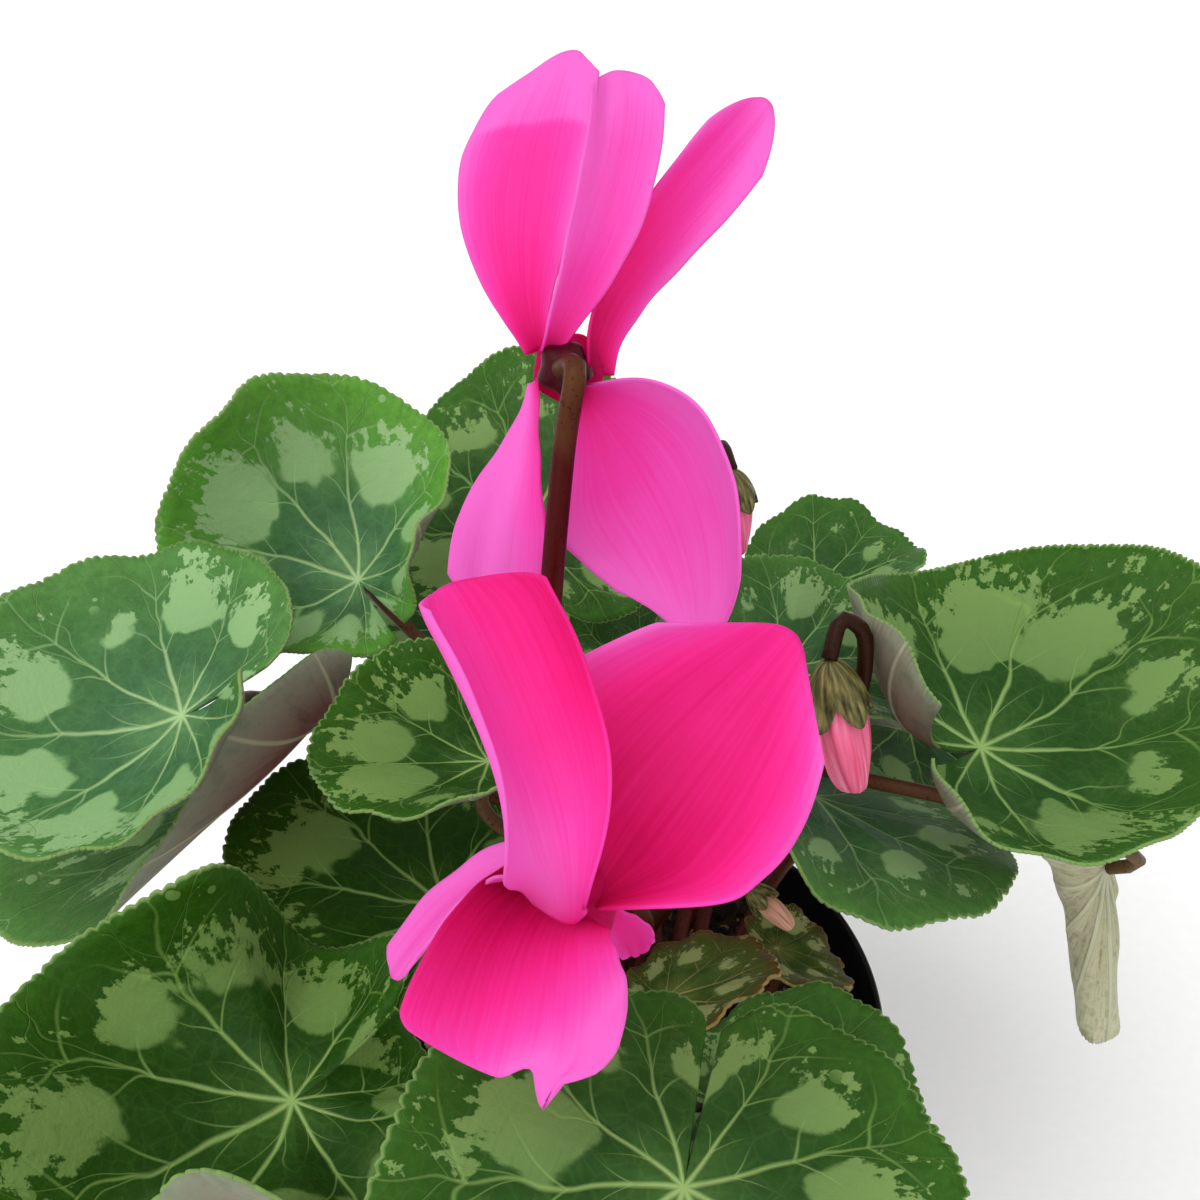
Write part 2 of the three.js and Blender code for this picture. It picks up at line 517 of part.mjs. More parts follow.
// A cup round the back of an egg, open forwards.
function cup(radius, length, wall, axis, at, depth) {
  const outer = egg(radius + SEAT + wall, length + 2 * (SEAT + wall), axis, at, 0);
  const inner = egg(radius + SEAT, length + 2 * SEAT, axis, at, 0);
  const front = new THREE.CylinderGeometry(3 * radius, 3 * radius, 4 * length, 12);
  front.rotateX(Math.PI / 2);
  const middle = vec(at).addScaledVector(vec(axis).normalize(), 2 * length - length / 2 + depth);
  return outer.subtract(inner).subtract(toSolid(lay(front, axis, middle.toArray())));
}

// A flower's or bud's stalk from its foot over its hook to end. Its socket in the corm goes on the list.
function stemSolid(holder, radius, end, stands) {
  const foot = footOf(holder.root);
  const path = [foot, foot.clone().setZ(foot.z + 4), ...holder.stem.map(vec), vec(holder.hook), end];
  const curve = new THREE.CatmullRomCurve3(path);
  stands.push(socket(curve, radius, PEDUNCLE.sides, PEDUNCLE.steps));
  return toSolid(rod(curve, radius, PEDUNCLE.sides, PEDUNCLE.steps));
}

// A flower's stalk with the calyx at its end, in which the corolla's tube sits.
function peduncle(name, flower, stands) {
  const calyx = cup(TUBE.radius, TUBE.length, TUBE.calyxWall, flower.facing, flower.middle, TUBE.calyxLength);
  const reach = TUBE.length / 2 + SEAT + TUBE.calyxWall / 2;
  const end = vec(flower.middle).addScaledVector(vec(flower.facing).normalize(), -reach);
  return piece(name, toGeometry(calyx.add(stemSolid(flower, PEDUNCLE.radius, end, stands))), "peduncle");
}

const plant = new THREE.Group();
plant.name = "potted_cyclamen";
const stands = [];

for (const [name, row] of Object.entries(LEAVES)) {
  const leaf = { ...PLAIN_LEAF, ...row };
  const mesh = blade(name, leaf, name.startsWith("leaf_young") ? "youngLeaf" : "leaf");
  plant.add(mesh);
  const curve = stalkCurve(leaf, mesh);
  const stalk = rod(curve, STALK.radius, STALK.sides, STALK.steps);
  plant.add(piece(name.replace("leaf", "stalk"), stalk, "stalk"));
  stands.push(socket(curve, STALK.radius, STALK.sides, STALK.steps));
}

for (const [name, flower] of Object.entries(FLOWERS)) {
  plant.add(corolla(`flower_${name}`, flower), peduncle(`peduncle_${name}`, flower, stands));
}

for (const [name, bud] of Object.entries(BUDS)) {
  const axis = vec(bud.nods).normalize();
  const middle = vec(bud.at).addScaledVector(axis, bud.length / 2);
  const rolled = egg(bud.radius, bud.length, bud.nods, middle.toArray(), 0);
  plant.add(piece(`bud_${name}`, toGeometry(rolled), bud.look));
  const calyx = cup(bud.radius, bud.length, 0.8, bud.nods, middle.toArray(), bud.length * 0.45);
  plant.add(piece(`calyx_${name}`, toGeometry(calyx), "calyx"));
  const end = middle.clone().addScaledVector(axis, -(bud.length / 2 + 0.8 + 2.7 * SEAT));
  const stem = stemSolid(bud, PEDUNCLE.budRadius, end, stands);
  plant.add(piece(`peduncle_${name}`, toGeometry(stem), "peduncle"));
}

plant.add(potWall(), soil(), corm(stands));

export default plant;
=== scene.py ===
import math

import bmesh
import bpy
import numpy as np
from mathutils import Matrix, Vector, noise


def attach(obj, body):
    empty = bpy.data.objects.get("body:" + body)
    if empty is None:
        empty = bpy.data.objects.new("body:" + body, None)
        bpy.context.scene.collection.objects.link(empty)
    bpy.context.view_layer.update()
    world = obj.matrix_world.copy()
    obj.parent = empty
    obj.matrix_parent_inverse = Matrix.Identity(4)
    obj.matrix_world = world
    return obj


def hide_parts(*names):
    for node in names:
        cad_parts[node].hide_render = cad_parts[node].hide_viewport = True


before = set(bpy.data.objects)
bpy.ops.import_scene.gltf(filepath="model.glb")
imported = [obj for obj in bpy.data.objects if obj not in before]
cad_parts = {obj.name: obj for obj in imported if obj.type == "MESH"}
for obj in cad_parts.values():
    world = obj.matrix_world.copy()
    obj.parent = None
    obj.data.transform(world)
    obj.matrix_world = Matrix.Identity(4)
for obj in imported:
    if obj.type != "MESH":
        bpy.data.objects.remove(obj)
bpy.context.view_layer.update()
mm = 0.001


def toLinear(hexColour):
    parts = [int(hexColour[i:i + 2], 16) / 255 for i in (1, 3, 5)]
    return [c / 12.92 if c <= 0.04045 else ((c + 0.055) / 1.055) ** 2.4 for c in parts] + [1]


# adds a node with its settings, and sets or links its inputs, given by name or in their order. A node that
# is given for an input stands for its first output in use. MapRange takes a value, from where to where, and
# to where
def addNode(tree, kind, inputs=(), stops=(), **settings):
    node = tree.nodes.new("ShaderNode" + kind)
    for name, value in settings.items():
        setattr(node, name, value)
    for name, value in inputs.items() if isinstance(inputs, dict) else enumerate(inputs):
        if isinstance(value, bpy.types.Node):
            value = next(socket for socket in value.outputs if socket.enabled)
        if isinstance(value, bpy.types.NodeSocket):
            tree.links.new(value, node.inputs[name])
        else:
            node.inputs[name].default_value = value
    for extra in stops[2:]:
        node.color_ramp.elements.new(0.5)
    for index, (at, colour) in enumerate(stops):
        node.color_ramp.elements[index].position = at
        node.color_ramp.elements[index].color = toLinear(colour)
    return node


# a new material, its tree, and the place of each point on the piece, in metres. The Scale of a pattern is
# 1000 divided by the size of its grain in millimetres
def newMaterial(name):
    material = bpy.data.materials.new(name)
    material.use_nodes = True
    tree = material.node_tree
    tree.nodes.clear()
    return material, tree, addNode(tree, "TexCoord").outputs["Object"]


# the end of a material: its colour, roughness and gloss, and a relief with its depth in millimetres
def finishMaterial(tree, colour, roughness, gloss=0.5, relief=None, strength=0, depth=0):
    look = {"Base Color": colour, "Roughness": roughness, "Specular IOR Level": gloss}
    if relief:
        bump = {"Height": relief, "Strength": strength, "Distance": depth * mm}
        look["Normal"] = addNode(tree, "Bump", bump)
    surface = addNode(tree, "BsdfPrincipled", look)
    addNode(tree, "OutputMaterial", {"Surface": surface})


def meshOf(name, bm):
    mesh = bpy.data.meshes.new(name)
    bm.to_mesh(mesh)
    bm.free()
    return mesh


# a grid of columns and rows, each point then moved to where place(u, w) says, in millimetres: closed merges
# points that meet, capped fills open ends, and outward turns the faces out
def gridMesh(name, columns, rows, place, closed=False, capped=False, outward=False):
    bm = bmesh.new()
    bm.loops.layers.uv.new("sheet")
    bmesh.ops.create_grid(bm, x_segments=columns, y_segments=rows, size=1, calc_uvs=True)
    flat = np.array([v.co[:2] for v in bm.verts])
    points = place(flat[:, 0] / 2 + 0.5, flat[:, 1] / 2 + 0.5) * mm
    for vert, point in zip(bm.verts, points):
        vert.co = point
    if closed:
        bmesh.ops.remove_doubles(bm, verts=bm.verts, dist=1e-6)
    for face in bm.faces:
        face.smooth = True
    if capped:
        bmesh.ops.holes_fill(bm, edges=[e for e in bm.edges if e.is_boundary])
    if outward:
        bm.normal_update()
        bmesh.ops.recalc_face_normals(bm, faces=bm.faces)
    return meshOf(name, bm)


def addPiece(name, mesh, materials, nodes):
    piece = bpy.data.objects.new(name, mesh)
    bpy.context.scene.collection.objects.link(piece)
    for material in materials:
        mesh.materials.append(material)
    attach(piece, "root")
    if nodes:
        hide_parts(*nodes)
    return piece


def thicken(piece, thickness, offset, undersideIndex=0):
    solid = piece.modifiers.new("thickness", "SOLIDIFY")
    solid.thickness = thickness * mm
    solid.offset = offset
    solid.use_even_offset = False
    solid.material_offset = undersideIndex
    solid.material_offset_rim = 0


# Camera: looks down 40 degrees at the plant, as the photograph does
cameraSettings = {"at": (-2.4, -173, 348), "down": 40, "lens": 43.5}
cameraData = bpy.data.cameras.new("camera")
cameraData.lens = cameraSettings["lens"]
cameraData.sensor_width = 36
cameraData.clip_start = 0.01
camera = bpy.data.objects.new("camera", cameraData)
camera.location = Vector(cameraSettings["at"]) * mm
camera.rotation_euler = (math.radians(90 - cameraSettings["down"]), 0, 0)
bpy.context.scene.collection.objects.link(camera)
bpy.context.scene.camera = camera
print("camera set")

# Floor and light: white card under a wide soft light from above, a little from the front and the left
lightSettings = {"sky": 0.74, "sun": 1.6, "softness": 60, "from": (-0.35, -0.3, 1)}
world = bpy.data.worlds.new("studio")
world.use_nodes = True
world.node_tree.nodes["Background"].inputs["Color"].default_value = (1, 1, 1, 1)
world.node_tree.nodes["Background"].inputs["Strength"].default_value = lightSettings["sky"]
bpy.context.scene.world = world
lampData = bpy.data.lights.new("softbox", "SUN")
lampData.energy = lightSettings["sun"]
lampData.angle = math.radians(lightSettings["softness"])
lamp = bpy.data.objects.new("softbox", lampData)
lamp.rotation_euler = Vector(lightSettings["from"]).to_track_quat("Z", "Y").to_euler()
bpy.context.scene.collection.objects.link(lamp)
bpy.context.scene.view_settings.view_transform = "Standard"

card, tree, point = newMaterial("matteWhiteCard")  # smooth card: even, nearly white, with no gloss
fibre = addNode(tree, "TexNoise", {"Vector": point, "Scale": 1000 / 3.333})
paper = addNode(tree, "ValToRGB", [fibre], [(0.3, "#FBFBFB"), (0.7, "#FEFEFE")])
finishMaterial(tree, paper, 0.9)
floorSettings = {"side": 6000, "below": 0.2}


def floorPlace(u, w):
    side = floorSettings["side"]
    return np.stack([(u - 0.5) * side, (w - 0.5) * side, u * 0 - floorSettings["below"]], 1)


floorMesh = gridMesh("floor", 4, 4, floorPlace)
floor = bpy.data.objects.new("floor", floorMesh)
floorMesh.materials.append(card)
bpy.context.scene.collection.objects.link(floor)
print("floor and light set")


# where a strip ends that is bent by so much for each unit of its length, and how far it leans there
def bend(length, turn):
    turn = np.where(np.abs(turn) < 1e-4, 1e-4, turn)
    angle = length * turn
    return np.sin(angle) / turn, (1 - np.cos(angle)) / turn, angle


def turnMatrix(heading, pitch, roll):
    ch, sh = math.cos(math.radians(heading)), math.sin(math.radians(heading))
    cp, sp = math.cos(math.radians(-pitch)), math.sin(math.radians(-pitch))
    cr, sr = math.cos(math.radians(roll)), math.sin(math.radians(roll))
    aboutZ = np.array([[ch, -sh, 0], [sh, ch, 0], [0, 0, 1]])
    aboutY = np.array([[cp, 0, sp], [0, 1, 0], [-sp, 0, cp]])
    aboutX = np.array([[1, 0, 0], [0, cr, -sr], [0, sr, cr]])
    return aboutZ @ aboutY @ aboutX


# Leaves: at is where the stalk meets the blade, heading, pitch and roll point its tip, and length runs to
# the tip. breadth, back, phase and span give its outline, and dish, wave, waves and lobe its relief. curl
# folds its two sides up, less towards the tip by open, droop bends it along its length, and twist turns its
# tip. The stalk starts at root, a radius and bearing on the corm, and runs by way of via, past and neck
leafSettings = {
    "back_left": {"at": (-51.5, 55.5, 161.5), "heading": 127, "pitch": 14, "roll": -29, "length": 50.5,
        "breadth": 0.8, "back": 0.32, "dish": 0.03, "wave": 0.18, "phase": 1.6, "curl": (0.5, 0.85),
        "open": -0.25, "droop": 1.2, "twist": 0.2, "lobe": (0.15, 0.35), "root": (20, 109),
        "via": (-18.8, 44.5, 118.4)},
    "left": {"at": (-78.5, 16, 162), "heading": 185, "pitch": -20, "roll": -10, "length": 48.5,
        "breadth": 1.05, "back": 0.22, "dish": 0.1, "wave": 0.03, "phase": 0.7, "curl": (0.95, -0.1),
        "open": -0.5, "droop": 0.8, "twist": -0.25, "lobe": (0.45, 0), "root": (15.6, 134),
        "via": (-45, 54.6, 113.1), "past": (-74.3, 44.9, 138.8), "neck": (1.5, 1.5, -5)},
    "left_folded": {"at": (-58.5, 37.5, 142), "heading": -139, "pitch": -21, "roll": 38, "length": 73,
        "breadth": 0.47, "back": 0.26, "dish": 0.15, "wave": 0.1, "phase": 3.3, "curl": (0.6, -1.2),
        "open": 0.05, "droop": 0.15, "twist": -0.3, "lobe": (0.1, 0.2), "span": (108, 104),
        "root": (10.6, 106), "via": (-7.2, 25.2, 115.7)},
    "front_left": {"at": (-50, -51, 144.5), "heading": -146, "pitch": 12, "roll": -1, "length": 47.5,
        "breadth": 1.04, "back": 0.23, "dish": 0.32, "wave": 0.21, "waves": 5, "phase": 2.8,
        "curl": (0.55, 0.6), "open": -0.85, "droop": -0.15, "lobe": (0.2, 0.2), "span": (188, 171),
        "root": (19.9, 230), "via": (-33.6, -37, 113.9)},
    "low_left": {"at": (-34, 10.5, 114), "heading": 141, "pitch": 13, "roll": 2, "length": 47,
        "back": 0.3, "phase": 0.6, "root": (20, 172), "via": (-29.7, 4.9, 98.9)},
    "mid_left": {"at": (-23, 13, 153), "heading": 188, "pitch": 9, "roll": 18, "length": 31.5,
        "breadth": 1.07, "back": 0.16, "dish": 0.06, "wave": 0.09, "phase": 0.9, "curl": (0.95, 0.9),
        "open": -0.15, "droop": -0.15, "twist": -0.5, "lobe": (0.2, 0), "root": (10.6, 136),
        "via": (6.6, 2.4, 119.7)},
    "back": {"at": (-17.5, 82, 154), "heading": 107, "pitch": 30, "roll": -14, "length": 44.5,
        "breadth": 0.91, "wave": 0.05, "phase": 1.8, "curl": (0.1, 0.15), "droop": -0.3, "twist": -0.3,
        "root": (20, 82), "via": (-12.2, 66.4, 122.9)},
    "behind_flower": {"at": (8, 60, 128), "heading": 96, "pitch": 14, "roll": -3, "length": 27,
        "breadth": 0.95, "phase": 0.1, "root": (20, 64), "via": (15.5, 54, 115.6)},
    "back_right": {"at": (46.5, 78, 139.5), "heading": 56, "pitch": 16, "roll": -6, "length": 30,
        "breadth": 0.84, "wave": 0.1, "phase": 6, "curl": (0.35, 0.4), "open": -0.15, "droop": -0.35,
        "root": (15, 67), "via": (39.4, 63.3, 120)},
    "mid_right": {"at": (34.5, 40.5, 151), "heading": -18, "pitch": -1, "length": 30.5, "breadth": 1.09,
        "back": 0.12, "dish": 0.05, "phase": 6.2, "curl": (0.5, 0.85), "open": 0.2, "droop": -0.35,
        "twist": -0.45, "lobe": (0.05, 0), "root": (12.6, 19), "via": (25.5, 38.4, 133.5)},
    "right": {"at": (70, 20.5, 149), "heading": 39, "pitch": -15, "roll": 14, "length": 66.5,
        "breadth": 0.67, "back": 0.1, "dish": 0.08, "wave": 0.05, "phase": 1, "curl": (0.65, 0.95),
        "droop": 0.75, "twist": -0.25, "lobe": (0.55, 0.4), "root": (16.4, 355),
        "via": (26.2, 30.9, 106.5), "past": (79.3, 26.9, 121)},
    "low_right": {"at": (40, 21.5, 134), "heading": -35, "pitch": 2, "roll": -26, "length": 38.5,
        "wave": 0.14, "phase": 1.2, "curl": (0.05, 0.35), "open": 0.1, "droop": -0.35, "twist": 0.2,
        "root": (15.8, 91), "via": (10.7, 31.6, 106.9)},
    "hanging": {"at": (94, 7, 131), "heading": 12, "pitch": -74, "roll": -116, "length": 67,
        "breadth": 0.28, "back": 0.32, "dish": 0.04, "wave": -0.05, "phase": 1.4, "curl": (8.5, 6),
        "open": -0.45, "droop": 0.05, "twist": -0.05, "span": (120, 112), "root": (11.1, 345),
        "via": (11.2, 36.2, 126.7), "past": (54, 12.1, 146.9), "neck": (2, -2.6, 7)},
    "young": {"at": (10, -9, 110.5), "heading": 12, "pitch": 16, "roll": -16, "length": 23.5,
        "breadth": 0.9, "back": 0.3, "wave": 0.06, "phase": 5.2, "curl": (0.05, 0.2), "droop": 0,
        "twist": -0.4, "root": (11.6, 319), "via": (13, -9.8, 98.2)},
    "youngest": {"at": (33.5, 8, 103.5), "heading": -34, "pitch": 5, "roll": -15, "length": 17,
        "breadth": 0.91, "wave": 0.06, "phase": 2.1, "curl": (0.1, 0.4), "droop": -0.3, "twist": -0.45,
        "root": (20, 14), "via": (28.9, 4.5, 92.9)},
    "front_right": {"at": (21.5, -46, 133.5), "heading": 0, "pitch": 4, "roll": -12, "length": 30,
        "breadth": 1.02, "wave": 0.13, "phase": 5.2, "curl": (-0.05, 0.2), "droop": -0.05,
        "root": (20, 281), "via": (15.1, -39.4, 111.7)},
    "front": {"at": (9, -73, 159.5), "heading": -104, "pitch": -24, "roll": -5, "length": 41,
        "breadth": 1.12, "back": 0.11, "dish": 0, "wave": 0.08, "phase": 5.5, "curl": (0.2, 0.35),
        "droop": -1.1, "lobe": (0, 0.1), "span": (177, 177), "root": (14.1, 248),
        "via": (-0.1, -41.2, 134.2)},
    "under_back_left": {"at": (-34, 79, 128), "heading": 112, "pitch": 16, "length": 31,
        "root": (19.5, 148), "via": (-23.9, 22.1, 91.5)},
    "far_back": {"at": (-2, 80, 112), "heading": 82, "pitch": -4, "length": 40, "phase": 2,
        "root": (20, 126), "via": (-9.9, 43.8, 96.7)},
    "far_right": {"at": (68, 64, 114), "heading": -14, "pitch": -4, "length": 37, "phase": 1,
        "root": (17.6, 326), "via": (36.7, 31.5, 98.6)},
}
plainLeaf = {
    "pitch": 0, "roll": 0, "breadth": 0.96, "back": 0.18, "dish": 0.03, "wave": 0.03, "waves": 3,
    "phase": 0, "curl": (0.15, 0.2), "open": 0, "droop": -0.25, "twist": 0, "lobe": (0, 0),
    "span": (171, 171), "neck": None,
}
bladeSettings = {
    "thickness": 0.6, "toothPitch": 1.8, "toothDepth": 0.85, "rings": 14, "veins": 9, "puff": 1,
    "frill": 0.7,
}
leaves = {name: {**plainLeaf, **row} for name, row in leafSettings.items()}


# places of blade points: a is the angle from the tip, share how far out from the stalk
def bladePoints(leaf, a, share, edge):
    span = np.where(a > 0, math.radians(leaf["span"][0]), math.radians(leaf["span"][1]))
    notch = np.clip((np.abs(a) - span + 0.55) / 0.55, 0, 1)
    outline = (1 - leaf["back"] + leaf["back"] * np.cos(a)) * (1 - 0.3 * notch ** 2)
    outline = outline * (1 + 0.02 * np.sin(3 * a + leaf["phase"]))
    uneven = 0.011 * np.sin(7 * a + 2 * leaf["phase"]) + 0.008 * np.sin(12 * a + 3 * leaf["phase"])
    outline = outline * (1 + uneven)
    r = share * outline * edge
    x = r * np.cos(a)
    y = r * np.sin(a) * leaf["breadth"]
    near = np.clip((np.abs(a) - 1.8) / (math.pi - 1.8), 0, 1.3)
    lift = np.where(a > 0, leaf["lobe"][0], leaf["lobe"][1]) * near ** 2 * share
    ripple = leaf["wave"] * share ** 2 * np.sin(leaf["waves"] * a + leaf["phase"])
    height = leaf["dish"] * r * r + ripple + lift * r
    left, right = (math.radians(s) for s in leaf["span"])
    between = np.abs((left - a) / (left + right) * bladeSettings["veins"] % 1 - 0.5) * 2
    puff = bladeSettings["puff"] * (between ** 0.7 - 0.6) * np.sin(math.pi * np.clip(share, 0, 1)) ** 0.8
    frill = bladeSettings["frill"] * np.sin(13 * a + 5 * leaf["phase"]) * np.clip(share, 0, 1) ** 5
    height = height + (puff + frill) / leaf["length"]
    fold = np.where(y > 0, leaf["curl"][0], leaf["curl"][1]) * (1 - leaf["open"] * x)
    sideways, rise, lean = bend(np.abs(y), fold)
    flatY = np.sign(y) * (sideways - height * np.sin(lean))
    flatZ = rise + height * np.cos(lean)
    twist = leaf["twist"] * x
    cosine, sine = np.cos(twist), np.sin(twist)
    flatY, flatZ = flatY * cosine - flatZ * sine, flatY * sine + flatZ * cosine
    forward, climb, tilt = bend(x, np.full_like(x, leaf["droop"]))
    local = np.stack([forward - flatZ * np.sin(tilt), flatY, climb + flatZ * np.cos(tilt)], 1)
    turned = local * leaf["length"] @ turnMatrix(leaf["heading"], leaf["pitch"], leaf["roll"]).T
    return turned + np.array(leaf["at"], float)


# how light a leaf is: 0 deep yellowish green, 1 pale blue-green, 2 fresh bright green. The tones are partly
# each leaf's own colour and partly painted light and shade: low_left is set darkest for the shade it lies in
# under the other leaves, and low_right is set paler for the light that falls on it
leafTones = {
    "back_left": 1.75, "left": 1, "left_folded": 0.8, "front_left": 0.05, "low_left": 0, "mid_left": 0.06,
    "back": 0.2, "mid_right": 0.55, "low_right": 0.78, "right": 0.15, "hanging": 0.5, "front": 0.15,
    "under_back_left": 0.5,
}


def unit(vector):
    return np.array(vector, float) / np.linalg.norm(vector)


def setTone(mesh, values):
    mesh.attributes.new("tone", "FLOAT", "POINT").data.foreach_set("value", np.asarray(values, np.float32))


def addLeaf(name, leaf, materials):
    left, right = (math.radians(s) for s in leaf["span"])
    around = (left + right) * leaf["length"] * (1 - leaf["back"] / 2)
    teeth = int(around / bladeSettings["toothPitch"])
    columns = 4 * teeth

    def place(u, w):
        a = left - (left + right) * u
        step = (u * teeth) % 1
        tooth = np.where(step < 0.62, step / 0.62, (1 - step) / 0.38)
        uneven = 0.8 + 0.35 * np.sin(2.3 * np.floor(u * teeth))
        depth = bladeSettings["toothDepth"] / leaf["length"] * uneven
        bite = depth * (1 - tooth) * np.clip((w - 0.9) / 0.1, 0, 1)
        return bladePoints(leaf, a, w, 1.008 - bite)

    mesh = gridMesh("leaf_" + name, columns, bladeSettings["rings"], place, closed=True)
    setTone(mesh, np.full(len(mesh.vertices), leafTones.get(name, 0.3)))
    piece = addPiece("blade_" + name, mesh, materials, ["leaf_" + name])
    thicken(piece, bladeSettings["thickness"], -1, 1)


# how far a point is from the nearest main vein: 0 on it and 0.5 midway between two
def addAside(tree, around):
    piece = addNode(tree, "Math", [around], operation="FRACT")
    centred = addNode(tree, "Math", [piece, 0.5], operation="SUBTRACT")
    return addNode(tree, "Math", [centred], operation="ABSOLUTE")


# noise drawn out into streaks along a sheet: grains is how many lie across it and along it
def addStreaks(tree, place, grains, detail):
    drawn = addNode(tree, "Mapping", {"Vector": place, "Scale": (*grains, 1)})
    return addNode(tree, "TexNoise", {"Vector": drawn, "Scale": 1, "Detail": detail})


def leafMaterial(name, colours, silver):
    material, tree, point = newMaterial(name)
    place = addNode(tree, "UVMap", uv_map="sheet")
    tone = addNode(tree, "Attribute", attribute_name="tone").outputs["Fac"]
    wander = addNode(tree, "TexNoise", {"Vector": point, "Scale": 1000 / 18.18, "Detail": 2})
    ragged = addNode(tree, "TexNoise",
                     {"Vector": point, "Scale": 1000 / 2.632, "Detail": 3, "Roughness": 0.7})
    parts = addNode(tree, "SeparateXYZ", [place])
    turn, out = parts.outputs[0], parts.outputs[1]
    drift = addNode(tree, "Math", [wander, 0.5, -0.25], operation="MULTIPLY_ADD")
    around = addNode(tree, "Math", [turn, bladeSettings["veins"], drift], operation="MULTIPLY_ADD")
    aside = addAside(tree, around)
    # main veins fork once, and each fork again nearer the edge
    veins = addNode(tree, "Math", [aside, out], operation="MULTIPLY")
    for start, slope in ((0.5, 0.5), (0.74, 1.25)):
        past = addNode(tree, "Math", [out, start], operation="SUBTRACT")
        path = addNode(tree, "Math", [past, slope], operation="MULTIPLY")
        side = addNode(tree, "Math", [aside, path], operation="SUBTRACT")
        off = addNode(tree, "Math", [side], operation="ABSOLUTE")
        wide = addNode(tree, "Math", [off, 1.1, 0.004], operation="MULTIPLY_ADD")
        early = addNode(tree, "Math", [out, start], operation="LESS_THAN")
        fork = addNode(tree, "Math", [wide, early], operation="ADD")
        veins = addNode(tree, "Math", [veins, fork], operation="MINIMUM")
    width = addNode(tree, "MapRange", [out, 0, 1, 0.027, 0.01])
    line = addNode(tree, "MapRange", [veins, 0.002, width, 1, 0], interpolation_type="SMOOTHSTEP")
    # side veins leave the main ones slantwise and die out between them, with a fine net over all
    slant = addNode(tree, "Math", [aside, -1.5, wander], operation="MULTIPLY_ADD")
    steps = addNode(tree, "Math", [out, 3.6, slant], operation="MULTIPLY_ADD")
    chevron = addNode(tree, "Math", [steps, 0.5], operation="PINGPONG")
    reach = addNode(tree, "MapRange", [aside, 0.12, 0.42, 0.5, 0.05])
    sideLine = addNode(tree, "MapRange", [chevron, 0.004, 0.045, reach, 0], interpolation_type="SMOOTHSTEP")
    net = addNode(tree, "TexVoronoi", {"Vector": point, "Scale": 1000 / 3.333}, feature="DISTANCE_TO_EDGE")
    netLine = addNode(tree, "MapRange", [net, 0, 0.08, 0.04, 0])
    fine = addNode(tree, "Math", [sideLine, netLine], operation="MAXIMUM")
    # a silver blotch between each two main veins, no two alike: rounded inwards, and outwards it runs
    # out in fingers along the small veins
    sector = addNode(tree, "Math", [around], operation="ROUND")
    pick = addNode(tree, "Math", [tone, 37, sector], operation="MULTIPLY_ADD")
    luck = addNode(tree, "TexWhiteNoise", {"W": pick}, noise_dimensions="1D")
    across = addNode(tree, "Math", [aside, -2.3, 1.15], operation="MULTIPLY_ADD")
    deep = addNode(tree, "Math", [out, 5, -5 * silver["at"]], operation="MULTIPLY_ADD")
    rounded = addNode(tree, "CombineXYZ", [across, deep])
    blotch = addNode(tree, "VectorMath", [rounded], operation="LENGTH")
    lumps = addNode(tree, "TexNoise", {"Vector": point, "Scale": 1000 / 6.667, "Detail": 1})
    outwards = addNode(tree, "MapRange", [out, silver["at"] - 0.06, 0.85, 0.15, 3])
    streaks = addStreaks(tree, place, (110, 9), 3)
    fingers = addNode(tree, "Math", [streaks, ragged], operation="ADD")
    fingers = addNode(tree, "Math", [fingers, -1.02], operation="ADD")
    for noisy, strength in ((luck, 0.75), (wander, -2.2), (lumps, 1.1), (fingers, outwards)):
        blotch = addNode(tree, "Math", [noisy, strength, blotch], operation="MULTIPLY_ADD")
    low, high = silver["size"] - 0.1, silver["size"] + 0.1
    patch = addNode(tree, "MapRange", [blotch, low, high, silver["strength"], 0],
                    interpolation_type="SMOOTHSTEP")
    # small silver specks between the blotches and the edge
    speck = addNode(tree, "TexVoronoi", {"Vector": point, "Scale": 1000 / 5.263})
    rare = addNode(tree, "SeparateColor", [speck.outputs["Color"]])
    small = addNode(tree, "MapRange", [rare, 0.72, 1, 0, 0.26])
    dot = addNode(tree, "Math", [speck, small], operation="LESS_THAN")
    belt = addNode(tree, "MapRange", [out, 0.7, 0.78, 0, 0.6])
    dots = addNode(tree, "Math", [dot, belt], operation="MULTIPLY")
    mask = addNode(tree, "Math", [patch, dots], operation="MAXIMUM")
    colour = {}
    for part in ("ground", "silver", "vein"):
        deepSide = addNode(tree, "ValToRGB", [out], colours[part][0])
        paleSide = addNode(tree, "ValToRGB", [out], colours[part][1])
        colour[part] = addNode(tree, "Mix", {0: tone, 6: deepSide, 7: paleSide}, data_type="RGBA")
    beyond = addNode(tree, "MapRange", [out, 0.4, 0.95])
    fresh = addNode(tree, "MapRange", [tone, 1, 2, 0, beyond])
    fade = addNode(tree, "MapRange", [out, 0.2, 0.85, 0.85, 0.34])
    faint = addNode(tree, "Math", [line, fade], operation="MULTIPLY")
    rim = addNode(tree, "MapRange", [out, 0.984, 1, 0, 0.95])
